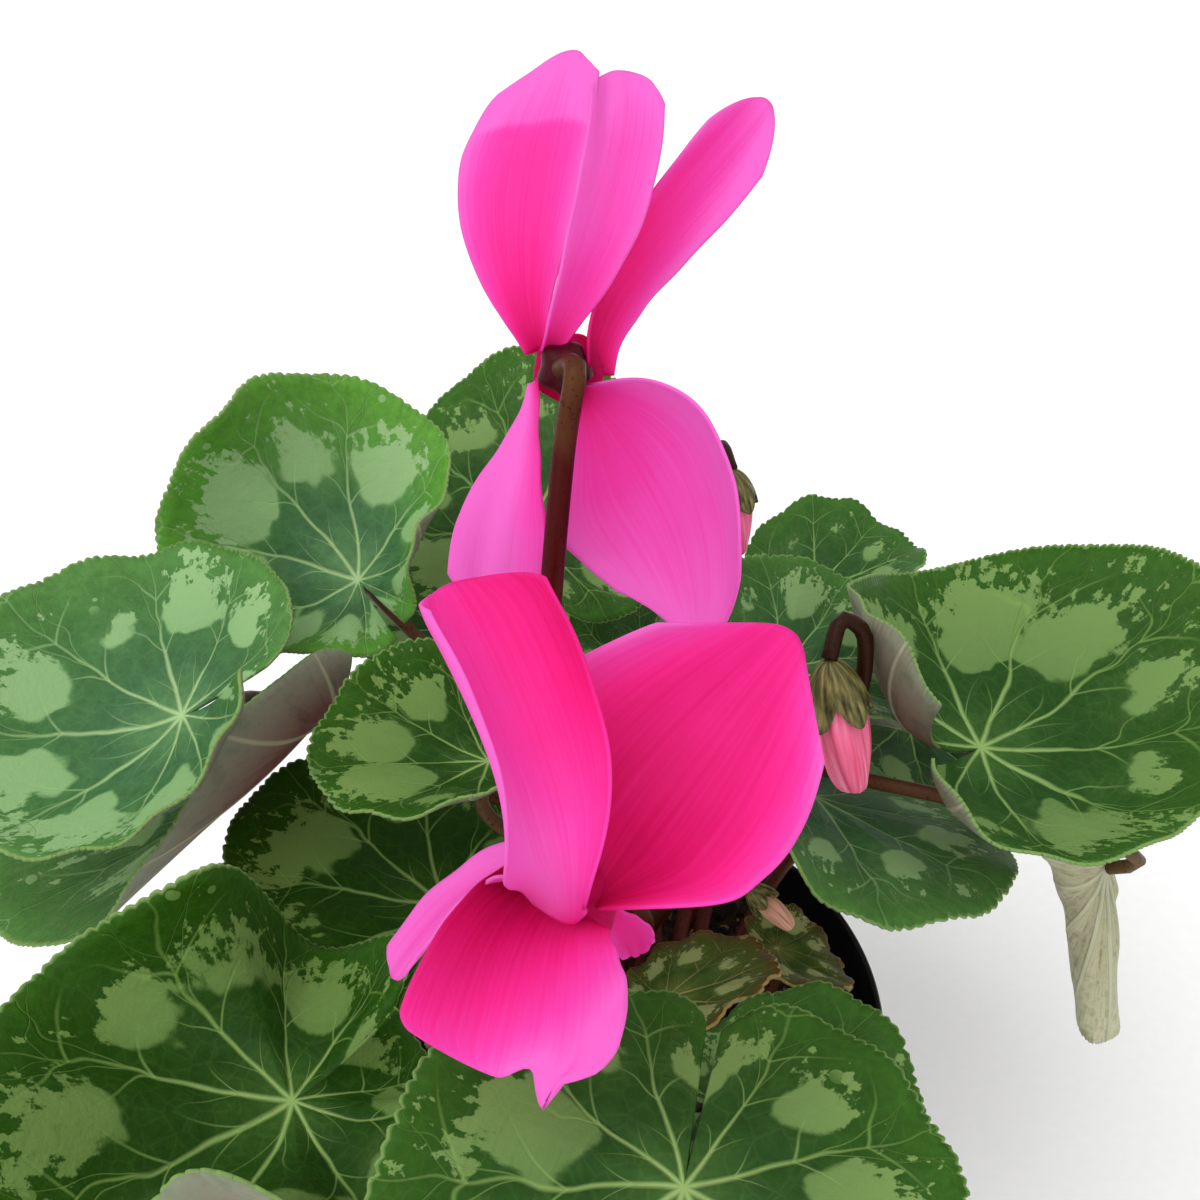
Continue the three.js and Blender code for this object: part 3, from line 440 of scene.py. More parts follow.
    # the colours, each laid over those before it
    mottle = addNode(tree, "ValToRGB", [ragged], [(0.3, "#8C8C8C"), (0.7, "#FFFFFF")])
    skin = colour["ground"]
    for share, over, blend in ((fresh, toLinear(colours["fresh"]), "MIX"), (0.4, mottle, "MULTIPLY"),
                               (mask, colour["silver"], "MIX"), (fine, colour["vein"], "MIX"),
                               (faint, colour["vein"], "MIX"), (rim, toLinear(colours["rim"]), "MIX")):
        skin = addNode(tree, "Mix", {0: share, 6: skin, 7: over}, data_type="RGBA", blend_type=blend)
    sunk = addNode(tree, "Math", [ragged, line], operation="SUBTRACT")
    sunk = addNode(tree, "Math", [sunk, sideLine], operation="SUBTRACT")
    bump = addNode(tree, "Bump", {"Height": sunk, "Strength": 0.45, "Distance": 0.7 * mm})
    look = {"Base Color": skin, "Roughness": 0.5, "Specular IOR Level": 0.12, "Normal": bump}
    surface = addNode(tree, "BsdfPrincipled", look)
    through = addNode(tree, "BsdfTranslucent", {"Color": skin, "Normal": bump})
    both = addNode(tree, "MixShader", [0.12, surface, through])
    addNode(tree, "OutputMaterial", {"Surface": both})
    return material


def underMaterial(name, colours):
    material, tree, point = newMaterial(name)
    place = addNode(tree, "UVMap", uv_map="sheet")
    parts = addNode(tree, "SeparateXYZ", [place])
    turn, out = parts.outputs[0], parts.outputs[1]
    around = addNode(tree, "Math", [turn, bladeSettings["veins"]], operation="MULTIPLY")
    main = addNode(tree, "Math", [addAside(tree, around), out], operation="MULTIPLY")
    line = addNode(tree, "MapRange", [main, 0.004, 0.03, 1, 0], interpolation_type="SMOOTHSTEP")
    grain = addNode(tree, "TexNoise",
                    {"Vector": point, "Scale": 1000 / 3.846, "Detail": 5, "Roughness": 0.65})
    creased = addNode(tree, "Math", [grain, addStreaks(tree, place, (60, 2.5), 2)], operation="ADD")
    creased = addNode(tree, "Math", [creased, 0.5], operation="MULTIPLY")
    flushed = addNode(tree, "ValToRGB", [creased], colours["near"])
    grey = addNode(tree, "ValToRGB", [creased], colours["far"])
    spread = addNode(tree, "MapRange", [out, 0.45, 1])
    ground = addNode(tree, "Mix", {0: spread, 6: flushed, 7: grey}, data_type="RGBA")
    veined = addNode(tree, "Mix", {0: line, 6: ground, 7: toLinear(colours["vein"])}, data_type="RGBA")
    height = addNode(tree, "Math", [line, creased], operation="ADD")
    finishMaterial(tree, veined, 0.6, gloss=0.12, relief=height, strength=0.5, depth=0.6)
    return material


# living leaf: waxy skin with sunk pale veins, silver blotches and some light through it
leafGreen = leafMaterial("marbledLeafSkin", {
    "ground": ([(0.0, "#3E6A1E"), (0.3, "#234C06"), (0.75, "#265002"), (1.0, "#32640A")],
               [(0.0, "#6A9A60"), (0.3, "#48784A"), (0.75, "#508442"), (1.0, "#609648")]),
    "silver": ([(0.4, "#688A44"), (0.9, "#7C9E50")], [(0.4, "#90BA7C"), (0.9, "#A0C88A")]),
    "vein": ([(0.0, "#A0C470"), (0.9, "#769E44")], [(0.0, "#B8DA9C"), (0.9, "#94C07A")]),
    "rim": "#86A860", "fresh": "#6CB43A",
}, {"at": 0.62, "size": 0.58, "strength": 0.88})
youngGreen = leafMaterial("youngLeafSkin", {
    "ground": ([(0.0, "#6E8A38"), (0.4, "#3A5818"), (0.85, "#4A5A1E"), (1.0, "#6A4A28")],
               [(0.0, "#8A8A4A"), (0.4, "#4C6C2A"), (0.85, "#5A6628"), (1.0, "#76542E")]),
    "silver": ([(0.4, "#9CAE6A"), (0.9, "#A8B070")], [(0.4, "#A8B878"), (0.9, "#A3A367")]),
    "vein": ([(0.0, "#B4B070"), (0.9, "#9A8A50")], [(0.0, "#B4B070"), (0.9, "#9A8A50")]),
    "rim": "#A89458", "fresh": "#8AA850",
}, {"at": 0.6, "size": 0.72, "strength": 0.85})
# leaf underside: dull grey-green, flushed purple-brown near the stalk, with raised veins
leafUnder = underMaterial("leafUnderside", {
    "near": [(0.3, "#5E343A"), (0.5, "#7E5450"), (0.75, "#8A6A58")],
    "far": [(0.3, "#6E7A60"), (0.5, "#869078"), (0.75, "#7E7466")], "vein": "#A4A488",
})
# an old leaf's underside: dry, pale beige-grey
fadedUnder = underMaterial("fadedLeafUnderside", {
    "near": [(0.35, "#8A8464"), (0.5, "#B4B490"), (0.65, "#9A8C78")],
    "far": [(0.35, "#9A9878"), (0.5, "#C2C4A2"), (0.65, "#A89C88")], "vein": "#BEC0A0",
})
for name, leaf in leaves.items():
    young = name.startswith("young")
    faces = [youngGreen if young else leafGreen, fadedUnder if name == "hanging" else leafUnder]
    addLeaf(name, leaf, faces)
print("leaves made:", len(leaves))


# a smooth curve through points, as evenly spaced points along it
def smoothPath(points, count):
    points = np.array(points, float)
    ends = np.concatenate([[2 * points[0] - points[1]], points, [2 * points[-1] - points[-2]]])
    dense = []
    for i in range(len(points) - 1):
        p0, p1, p2, p3 = ends[i:i + 4]
        t0, t1, t2 = (max(((b - a) ** 2).sum() ** 0.25, 1e-4) for a, b in ((p0, p1), (p1, p2), (p2, p3)))
        m1 = ((p1 - p0) / t0 - (p2 - p0) / (t0 + t1) + (p2 - p1) / t1) * t1
        m2 = ((p2 - p1) / t1 - (p3 - p1) / (t1 + t2) + (p3 - p2) / t2) * t1
        s = np.linspace(0, 1, 60, endpoint=i == len(points) - 2)[:, None]
        square, cube = 3 * (p2 - p1) - 2 * m1 - m2, 2 * (p1 - p2) + m1 + m2
        dense.append(p1 + m1 * s + square * s ** 2 + cube * s ** 3)
    dense = np.concatenate(dense)
    far = np.concatenate([[0], np.cumsum(np.linalg.norm(np.diff(dense, axis=0), axis=1))])
    at = np.linspace(0, far[-1], count)
    return np.stack([np.interp(at, far, dense[:, k]) for k in range(3)], 1)


# a stalk: a grid rolled round a path, with its thickness along it given by girth(w)
def stalkMesh(name, path, girth, sides=14):
    tangents = np.gradient(path, axis=0)
    tangents /= np.linalg.norm(tangents, axis=1)[:, None]
    across = np.cross(tangents[0], [0.3, 1, 0.2])
    frames = []
    for tangent in tangents:
        across = across - tangent * (across @ tangent)
        across /= np.linalg.norm(across)
        frames.append((across, np.cross(tangent, across)))
    sideA, sideB = (np.array([f[k] for f in frames]) for k in (0, 1))

    def place(u, w):
        row = np.clip(np.rint(w * (len(path) - 1)).astype(int), 0, len(path) - 1)
        turn = 2 * math.pi * u
        radius = girth(row / (len(path) - 1))
        ring = sideA[row] * np.cos(turn)[:, None] + sideB[row] * np.sin(turn)[:, None]
        return path[row] + ring * radius[:, None]

    return gridMesh(name, sides, len(path) - 1, place, closed=True, capped=True, outward=True)


# Corm and stalks: deep is how far a stalk stands in its hole in the corm, air the gap to the next piece,
# climb how far a stalk first runs straight up, and rise how far a leaf's stalk runs square to its blade. It
# ends under the CAD's blade, which is blade thick, and lower by up to lean where it comes in aslant
corm = {"radius": 24, "height": 20, "top": 91, "steps": 120}
standSettings = {
    "deep": 2, "air": 0.35, "climb": 4, "rise": 9, "blade": 0.8, "lean": 1.6,
    "leafStalk": 1.5, "flowerStalk": 1.9, "budStalk": 1.55,
}


def cormTop(r):
    return corm["top"] - corm["height"] / 2 * (1 - math.sqrt(1 - (r / corm["radius"]) ** 2.5))


# a stalk's path, straight up out of its hole in the corm and then through the points given
def stalkPath(root, points, count):
    r, bearing = root[0], math.radians(root[1])
    bottom = cormTop(r) - standSettings["deep"] + standSettings["air"]
    foot = np.array([r * math.cos(bearing), r * math.sin(bearing), bottom])
    return smoothPath([foot, foot + [0, 0, standSettings["climb"]], *points], count)


def addStalk(name, leaf, material):
    at = np.array(leaf["at"], float)
    up = turnMatrix(leaf["heading"], leaf["pitch"], leaf["roll"])[:, 2]
    neck = np.array(leaf["neck"], float) if leaf["neck"] else -up * standSettings["rise"]
    slant = math.sqrt(max(0, 1 - (neck @ up / np.linalg.norm(neck)) ** 2))
    end = at - up * (standSettings["blade"] + standSettings["air"] + standSettings["lean"] * slant)
    between = [leaf[key] for key in ("via", "past") if key in leaf]
    path = stalkPath(leaf["root"], [*between, end + neck, end], 48)
    path[-1] += (at - path[-1]) * 0.5  # the stalk runs on into the blade
    mesh = stalkMesh("stalk_" + name, path, lambda w: standSettings["leafStalk"] * (1.05 - 0.15 * w))
    addPiece("petiole_" + name, mesh, [material], ["stalk_" + name])


def stalkMaterial(name, stops, spots):
    material, tree, point = newMaterial(name)
    place = addNode(tree, "UVMap", uv_map="sheet")
    along = addNode(tree, "SeparateXYZ", [place]).outputs[1]
    fine = addNode(tree, "TexNoise", {"Vector": point, "Scale": 1000 / 0.7143, "Detail": 3})
    broad = addNode(tree, "TexNoise", {"Vector": point, "Scale": 1000 / 16.67, "Detail": 2})
    mixed = addNode(tree, "Math", [broad, 0.4, -0.2], operation="MULTIPLY_ADD")
    value = addNode(tree, "Math", [mixed, along], operation="ADD")
    skin = addNode(tree, "ValToRGB", [value], stops)
    speck = addNode(tree, "MapRange", [fine, 0.58, 0.7])
    dotted = addNode(tree, "Mix", {0: speck, 6: skin, 7: toLinear(spots)}, data_type="RGBA")
    finishMaterial(tree, dotted, 0.42, gloss=0.12, relief=fine, strength=0.2, depth=0.3)
    return material


# leaf stalk: smooth brownish red skin, paler to the blade, with short fine hairs that give a sheen
leafStalkSkin = stalkMaterial("leafStalkSkin", [(0, "#54201A"), (0.6, "#583020"), (1, "#665032")], "#38140E")
# flower stalk: dark red-brown, with a painted highlight in paler olive-brown where it hooks over
flowerStalkSkinAndHighlight = stalkMaterial("flowerStalkSkinAndHighlight", [(0, "#520402"), (0.88, "#440403"), (1, "#5C3A1C")],
                                "#2A0202")
# an open flower's calyx: dark maroon skin
maroonCalyx = stalkMaterial("maroonCalyxSkin", [(0, "#4A0414"), (0.5, "#38030C"), (1, "#2A0208")], "#1C0206")
# bud stalk: brown and still hooked over
budStalkSkin = stalkMaterial("budStalkSkin", [(0, "#4A0E06"), (0.7, "#3C1A0C"), (1, "#2E180A")], "#1A0C04")
for name, leaf in leaves.items():
    addStalk(name, leaf, leafStalkSkin)
print("leaf stalks made")


# Flowers: line bends each petal's middle from root to tip, and root and tip say which way it lies across.
# half is half its width where it is widest, claw the share of that at its root, and shoulder and blunt
# shape its end. slide sets its root aside, foot and hang lengthen the root's middle, flat takes the curl
# from the root, and notch is where across its tip it is notched
flowerSettings = {
    "upper": {
        "middle": (-7.5, 18, 233.5), "facing": (0.1, 0.85, -0.5), "root": (5, 150),
        "stem": ((-9, -4, 130), (-11.5, -10.5, 178), (-9.5, -7, 212), (-7.5, 3.5, 230)),
        "hook": (-6, 9.5, 239),
        "petals": [
            {"line": ((-4.5, 3.5, 1), (-10.5, 10, 17), (-6.5, 22, 29.5), (0, 37, 34.5)),
             "root": (-0.9, -0.1, -0.3), "tip": (-0.8, 0.5, -0.4), "half": 11.5, "curl": 0, "claw": 0.15,
             "widest": 0.65, "shoulder": 0.45, "blunt": 0.14},
            {"line": ((-3, 0, 3), (2, 4.5, 14.5), (10, 14.5, 27), (8.5, 30, 34)),
             "root": (-0.8, -0.4, 0.5), "tip": (-1, -0.1, 0.1), "half": 7, "curl": 1, "claw": 0.3,
             "widest": 0.6, "shoulder": 0.05, "blunt": 0.14},
            {"line": ((5, 1, -2), (4.5, 12.5, 9), (18, 20.5, 15.5), (31.5, 34, 28)),
             "root": (-0.6, -0.6, 0.6), "tip": (-0.8, 0.2, 0.6), "half": 7.5, "curl": 1, "claw": 0.55,
             "slide": 2.4, "widest": 0.75, "shoulder": 0.2, "blunt": 0.16},
            {"line": ((2.5, -1, -3.5), (11.5, -7, -7.5), (21.5, -16, -15), (20.5, -27, -32.5)),
             "root": (0.5, 0.2, 0.8), "tip": (0.7, -0.6, 0.3), "half": 19, "curl": 0.9, "claw": 0.1,
             "widest": 0.5, "shoulder": 0.65, "blunt": 0.18},
            {"line": ((-4.5, 0.5, -2.5), (-5, -9, -10), (-11, -16, -17.5), (-10.5, -22, -29.5)),
             "root": (0.4, -0.6, 0.7), "tip": (1, 0.2, 0), "half": 8, "curl": 0.5, "claw": 0.25,
             "widest": 0.85, "shoulder": 0.4, "blunt": 0.14},
        ],
    },
    "lower": {
        "middle": (-5.5, -53.5, 196.5), "facing": (0.1, -0.75, 0.65), "root": (7, 262),
        "stem": ((-2, -18, 125), (-5, -36, 165), (-6.5, -41, 184)), "hook": (-6.5, -45, 190),
        "petals": [
            {"line": ((-1, -0.5, 3), (0.5, -14, 21.5), (-7, 12, 24.5), (-16.5, 26.5, 31.5)),
             "root": (-0.7, 0.6, 0.5), "tip": (-0.8, -0.6, 0), "half": 14, "curl": 1.7, "claw": 0.33,
             "flat": 0.5, "hang": 5.5, "widest": 0.85, "shoulder": 0.35, "blunt": 0.14},
            {"line": ((2, -1.5, 1.5), (7, 5, 9), (16, 16, 13.5), (29, 27, 23)), "root": (-0.4, 0.9, 0),
             "tip": (-0.7, 0.4, 0.5), "half": 22.5, "curl": 0.8, "claw": 0.15, "widest": 0.3,
             "shoulder": 0.65, "blunt": 0.22},
            {"line": ((-2, -1, 1), (-7, -8.5, 3.5), (-5.5, -22, 7.5), (-8, -29, 5)),
             "root": (0.7, -0.6, -0.3), "tip": (0.9, -0.4, 0), "half": 14, "curl": 0.8, "claw": 0.55,
             "foot": 0.07, "widest": 0.85, "shoulder": 0.35, "blunt": 0.06, "notch": 0.5},
            {"line": ((-3.5, -1, 1.5), (-5.5, 5.5, 6), (-15.5, 0, 1.5), (-22.5, -10.5, -2.5)),
             "root": (-0.6, -0.8, 0.2), "tip": (0.5, -0.6, 0.7), "half": 9, "curl": 0.5, "claw": 0.25,
             "widest": 0.55, "shoulder": 0.45, "blunt": 0.08},
            {"line": ((3.2, -1, 0.3), (6.8, 1, -6.5), (8, 4, -13), (8.4, 5, -18)), "root": (0.9, 0.3, 0.4),
             "tip": (0.9, 0.3, 0.3), "half": 3.1, "curl": 0.4, "claw": 0.4, "widest": 0.6, "shoulder": 0.4,
             "blunt": 0.18},
        ],
    },
}
petalSettings = {"thickness": 0.45, "columns": 36, "rows": 56, "ripple": 0.35}


def petalPoints(petal, u, w):
    v = 2 * u - 1
    s = w * (1 - petal["blunt"] * np.abs(v) ** 2.2)
    s = s - petal.get("foot", 0) * (1 - w) ** 4 * (1 - 2.2 * v ** 2)  # a foot longer in its middle
    spike = np.zeros_like(s)
    if "notch" in petal:
        beside = v - petal["notch"]
        s = s - 0.07 * w ** 4 * np.exp(-((beside + 0.3) / 0.14) ** 2)
        spike = 2.3 * w ** 6 * np.exp(-(beside / 0.1) ** 2)
    p = [np.array(q, float) for q in petal["line"]]
    t = s[:, None]
    middle = p[0] * (1 - t) ** 3 + 3 * p[1] * t * (1 - t) ** 2 + 3 * p[2] * t ** 2 * (1 - t) + p[3] * t ** 3
    tangent = 3 * (p[1] - p[0]) * (1 - t) ** 2 + 6 * (p[2] - p[1]) * t * (1 - t) + 3 * (p[3] - p[2]) * t ** 2
    tangent /= np.linalg.norm(tangent, axis=1)[:, None]
    across = np.array(petal["root"]) * (1 - t) + np.array(petal["tip"]) * t
    across = across - tangent * (across * tangent).sum(1)[:, None]
    across /= np.linalg.norm(across, axis=1)[:, None]
    middle = middle + across * petal.get("slide", 0) * (1 - np.clip(t, 0, 1)) ** 2
    normal = np.cross(tangent, across)
    widest, claw = petal["widest"], petal["claw"]
    rise = claw + (1 - claw) * np.sin(math.pi / 2 * np.clip(s / widest, 0, 1)) ** 1.15
    fall = 1 - petal["shoulder"] * ((s - widest) / (1 - widest)) ** 2
    half = petal["half"] * np.where(s < widest, rise, fall)
    curl = petal["curl"] * (1 - petal.get("flat", 0) * (1 - w) ** 3)
    sideways, lift, lean = bend(np.abs(v), curl)
    inside = w ** 2 * np.sin(math.pi * np.clip(w, 0, 1)) ** 0.3
    ripple = np.sin(v * 9 + petal["half"]) * inside + 0.5 * np.sin(w * 23 + petal["half"]) * np.abs(v) ** 6
    ripple = petalSettings["ripple"] * ripple
    out = across * (np.sign(v) * sideways * half)[:, None] + normal * (lift * half + ripple)[:, None]
    hang = petal.get("hang", 0) * (1 - w) ** 4 * (1 - 0.9 * v ** 2 + 0.7 * v)
    return middle + out + spike[:, None] * np.array([0.1, -1, -0.5]) + hang[:, None] * np.array([0, -1, 0.1])


def petalMaterial(name, stops):
    material, tree, point = newMaterial(name)
    tone = addNode(tree, "Attribute", attribute_name="tone").outputs["Fac"]
    streak = addStreaks(tree, addNode(tree, "UVMap", uv_map="sheet"), (46, 1.6), 4)
    cells = addNode(tree, "TexNoise", {"Vector": point, "Scale": 1000 / 0.6667, "Detail": 2})
    cloud = addNode(tree, "TexNoise", {"Vector": point, "Scale": 1000 / 22.22, "Detail": 2})
    pushed = addNode(tree, "Math", [streak, 0.26, -0.13], operation="MULTIPLY_ADD")
    value = addNode(tree, "Math", [pushed, tone], operation="ADD")
    drift = addNode(tree, "Math", [cloud, 0.24, -0.12], operation="MULTIPLY_ADD")
    value = addNode(tree, "Math", [value, drift], operation="ADD")
    colour = addNode(tree, "ValToRGB", [value], stops)
    relief = addNode(tree, "Math", [cells, 0.3, streak], operation="MULTIPLY_ADD")
    bump = addNode(tree, "Bump", {"Height": relief, "Strength": 0.2, "Distance": 0.5 * mm})
    look = {"Base Color": colour, "Roughness": 0.55, "Specular IOR Level": 0.1, "Normal": bump}
    surface = addNode(tree, "BsdfPrincipled", look)
    through = addNode(tree, "BsdfTranslucent", {"Color": colour})
    both = addNode(tree, "MixShader", [0.4, surface, through])
    addNode(tree, "OutputMaterial", {"Surface": both})
    return material


# petal: thin satin tissue with fine streaks from the claw, paler to its edge, lit from behind as well
petalPink = petalMaterial("satinPetal", [
    (0.0, "#B80046"), (0.25, "#E81678"), (0.5, "#FE34A6"), (0.75, "#FE54CA"), (1.0, "#FE80E2"),
])
# how pale each petal is, 0 crimson to 1 violet-pink, in the order of its flower: at its root, at its tip,
# how much it gains from one side to the other and at its edges, and how far up it lies in another petal's
# shade. The gain from side to side is in part painted shade: it darkens the half that turns away from the
# light on the upper flower's third and fifth petals, and the crimson half of the lower flower's third petal,
# the notched one, whose deep crimson root is partly its own colour and partly painted shade in its cup
petalTones = {
    "upper": ((0.48, 0.68, 0, 0.4, 0.68), (0.62, 1, 0.1, 0.2, 0), (0.25, 0.85, -0.2, 0.3, 0),
              (0.65, 0.95, 0.1, 0.35, 0), (0.9, 1.05, -0.35, 0.1, 0)),
    "lower": ((1.05, 0.42, 0.3, 0.2, 0), (0.2, 0.42, 0, 0.5, 0), (0.12, 0.85, 0.35, 0.1, 0),
              (1, 0.8, 0, 0.3, 0), (0.5, 0.6, 0, 0.2, 0)),
}


# joins meshes, so that a flower is one piece
def joined(name, meshes):
    bm = bmesh.new()
    for mesh in meshes:
        bm.from_mesh(mesh)
    return meshOf(name, bm)


# points on rings about an axis: turn goes round it, along lies on it, and r is how far out
def ringPoints(middle, axis, turn, along, r):
    sideA = unit(np.cross(axis, [0.2, 0.9, 0.4]))
    sideB = np.cross(axis, sideA)
    ring = sideA * np.cos(turn)[:, None] + sideB * np.sin(turn)[:, None]
    return middle + axis * along[:, None] + ring * r[:, None]


# an egg lying along an axis: shape(turn, w) swells it, w running from its back to its front
def eggMesh(name, middle, axis, radius, length, shape, columns=48, rows=36):
    def place(u, w):
        turn = 2 * math.pi * u
        swell = radius * np.sin(math.pi * w) * shape(turn, w)
        return ringPoints(middle, axis, turn, -length / 2 * np.cos(math.pi * w), swell)

    return gridMesh(name, columns, rows, place, closed=True, outward=True)


# cup is the calyx, which lies cupBack behind the tube's middle, and gap is from the stalk's end to the tube
tubeSettings = {
    "radius": 3.2, "length": 9, "mouth": 5.4, "mouthDepth": 4, "mouthAhead": 2, "tone": 0.15, "cup": 4,
    "cupLength": 7, "cupBack": 2.2, "gap": 0.7,
}


def addFlower(name, flower):
    middle, facing, tube = np.array(flower["middle"], float), unit(flower["facing"]), tubeSettings
    sheets = []
    for petal, (atRoot, atTip, sideways, atEdge, shaded) in zip(flower["petals"], petalTones[name]):
        tones = []

        def place(u, w):
            v = 2 * u - 1
            edge = atEdge * np.abs(v) ** 3 + 0.12 * w ** 8
            # lit lightens a petal above the edge of another petal's painted shadow, and sideways puts
            # painted shade on one half of some petals
            lit = 0.22 * np.clip((w - 0.1 * v ** 2 - shaded) / 0.03, 0, 1) if shaded else 0
            tones.append(atRoot + (atTip - atRoot) * w + sideways * v + edge + lit - 0.3 * np.exp(-w / 0.08))
            return petalPoints(petal, u, w) + middle

        sheets.append(gridMesh("petal", petalSettings["columns"], petalSettings["rows"], place))
        setTone(sheets[-1], tones[0])
    whole = joined("petals_" + name, sheets)
    piece = addPiece("petals_" + name, whole, [petalPink], ["flower_" + name])
    thicken(piece, petalSettings["thickness"], -1)

    def lobed(depth):
        return lambda turn, w: 1 + depth * np.cos(5 * turn)

    front = middle + tube["mouthAhead"] * facing
    rings = [eggMesh("tube", middle, facing, tube["radius"], tube["length"], lobed(0.05)),
             eggMesh("mouth", front, facing, tube["mouth"], tube["mouthDepth"], lobed(0.05))]
    for ring in rings:
        setTone(ring, np.full(len(ring.vertices), tube["tone"]))
    addPiece("tube_" + name, joined("tube_" + name, rings), [petalPink], [])
    end = middle - facing * (tube["length"] / 2 + tube["gap"])
    path = stalkPath(flower["root"], [*flower["stem"], flower["hook"], end], 90)
    stalk = stalkMesh("stem", path, lambda w: standSettings["flowerStalk"] * (1 - 0.12 * w), 18)
    behind = middle - facing * tube["cupBack"]
    cup = eggMesh("calyx", behind, facing, tube["cup"], tube["cupLength"], lobed(0.1))
    for face in cup.polygons:
        face.material_index = 1
    whole = joined("scape_" + name, [stalk, cup])
    addPiece("scape_" + name, whole, [flowerStalkSkinAndHighlight, maroonCalyx], ["peduncle_" + name])


for name, flower in flowerSettings.items():
    addFlower(name, flower)
print("flowers made")

# Buds: at is the calyx's top, nods the way it hangs, twist how far its rolled petals turn about it
budSettings = {
    "front": {"at": (36.5, 8, 182), "nods": (0.25, -0.33, -1), "length": 25, "radius": 4.9, "twist": 1.6,
        "root": (14, 44), "stem": ((32, 44, 104), (47, 57, 122), (45, 18, 152), (43.3, 12.2, 167),
        (43.4, 12, 179), (42.4, 13.4, 184.8)), "hook": (38.7, 13.2, 187.4)},
    "small": {"at": (27.5, 9.5, 120.5), "nods": (0.75, -0.55, -0.5), "length": 11, "radius": 2.3,
        "twist": 1.6, "root": (5, 20), "stem": ((7, 8, 108), (16, 13, 119)), "hook": (22, 13, 122.5)},
    "rear": {"at": (22.5, 54, 189), "nods": (0.1, -0.25, -1), "length": 17, "radius": 4, "twist": 1.6,
        "root": (9, 78), "stem": ((4, 36, 112), (12, 50, 136), (19, 62, 182)), "hook": (21, 60, 191)},
}


def budMaterial(name, stops):
    material, tree, point = newMaterial(name)
    streak = addStreaks(tree, addNode(tree, "UVMap", uv_map="sheet"), (30, 2), 4)
    cells = addNode(tree, "TexNoise", {"Vector": point, "Scale": 1000 / 1.111, "Detail": 2})
    colour = addNode(tree, "ValToRGB", [streak], stops)
    finishMaterial(tree, colour, 0.55, gloss=0.25, relief=cells, strength=0.25, depth=0.4)
    return material


# rolled petals of a bud: soft matte tissue in long twisted folds
budPink = budMaterial("rolledPetal", [(0.35, "#F0567E"), (0.55, "#FE78A2"), (0.7, "#FEA4BE")])
budPale = budMaterial("paleRolledPetal", [(0.35, "#B98468"), (0.55, "#D9A58B"), (0.7, "#E8C4AE")])
# calyx: olive skin with darker stripes that run to the tips of its lobes
calyxOlive = budMaterial("stripedCalyx", [(0.35, "#2E2C12"), (0.5, "#605C30"), (0.7, "#96905A")])


# five lobes that hug the bud from its back, each drawn to a point. cover is how much of the bud they
# reach over, and gap is from the stalk's end to the bud
calyxSettings = {"cover": 0.36, "thickness": 0.6, "gap": 0.9, "columns": 80, "rows": 20}


def calyxMesh(name, middle, axis, bud):
    back = bud["length"] / 2 + standSettings["air"]

    def place(u, w):
        lobe = np.abs(((u * 5) % 1) - 0.5) * 2
        reach = calyxSettings["cover"] * bud["length"] * (0.72 + 0.5 * (1 - lobe ** 1.6))
        along = w * reach - back
        hug = (bud["radius"] + standSettings["air"]) * np.sqrt(1 - np.clip(along / back, -1, 1) ** 2)
        return ringPoints(middle, axis, 2 * math.pi * u, along, hug + 0.02 + 0.25 * (1 - lobe) * w)

    return gridMesh(name, calyxSettings["columns"], calyxSettings["rows"], place, closed=True, outward=True)


def addBud(name, bud):
    axis = unit(bud["nods"])
    middle = np.array(bud["at"], float) + axis * bud["length"] / 2

    def twisted(turn, w):
        folds = 0.9 + 0.12 * np.cos(3 * (turn + bud["twist"] * w)) * np.clip(w * 2, 0, 1)
        folds = folds + 0.03 * np.cos(11 * turn + 4 * w)
        return folds * np.where(w > 0.5, (np.sin(math.pi * w) + 1e-6) ** -0.35, 1)

    mesh = eggMesh("bud_" + name, middle, axis, bud["radius"], bud["length"], twisted, 80, 48)
    skin, slot = (budPale, "pale_bud") if name == "small" else (budPink, "bud")
    addPiece("rolled_" + name, mesh, [skin], ["bud_" + name])
    mesh = calyxMesh("calyx_" + name, middle, axis, bud)
    piece = addPiece("sepals_" + name, mesh, [calyxOlive], ["calyx_" + name])
    thicken(piece, calyxSettings["thickness"], 1)
    end = middle - axis * (bud["length"] / 2 + calyxSettings["gap"])
    path = stalkPath(bud["root"], [*bud["stem"], bud["hook"], end], 90)
    stalk = stalkMesh("stem", path, lambda w: standSettings["budStalk"] * (1 - 0.08 * w))
    addPiece("scape_" + name, stalk, [budStalkSkin], ["peduncle_" + name])


for name, bud in budSettings.items():
    addBud(name, bud)
print("buds made")

# Pot: black moulded polypropylene, matte from the mould, with dust in its fine grain
potBlack, tree, point = newMaterial("mouldedBlackPolypropylene")
grain = addNode(tree, "TexNoise", {"Vector": point, "Scale": 1000 / 0.5556, "Detail": 2})
scuff = addNode(tree, "TexNoise", {"Vector": point, "Scale": 1000 / 14.29, "Detail": 5, "Roughness": 0.7})
colour = addNode(tree, "ValToRGB", [scuff], [(0.4, "#0B0C0D"), (0.62, "#121315"), (0.8, "#2C2A26")])
rough = addNode(tree, "MapRange", [scuff, 0, 1, 0.32, 0.6])
finishMaterial(tree, colour, rough, gloss=0.35, relief=grain, strength=0.25, depth=0.2)


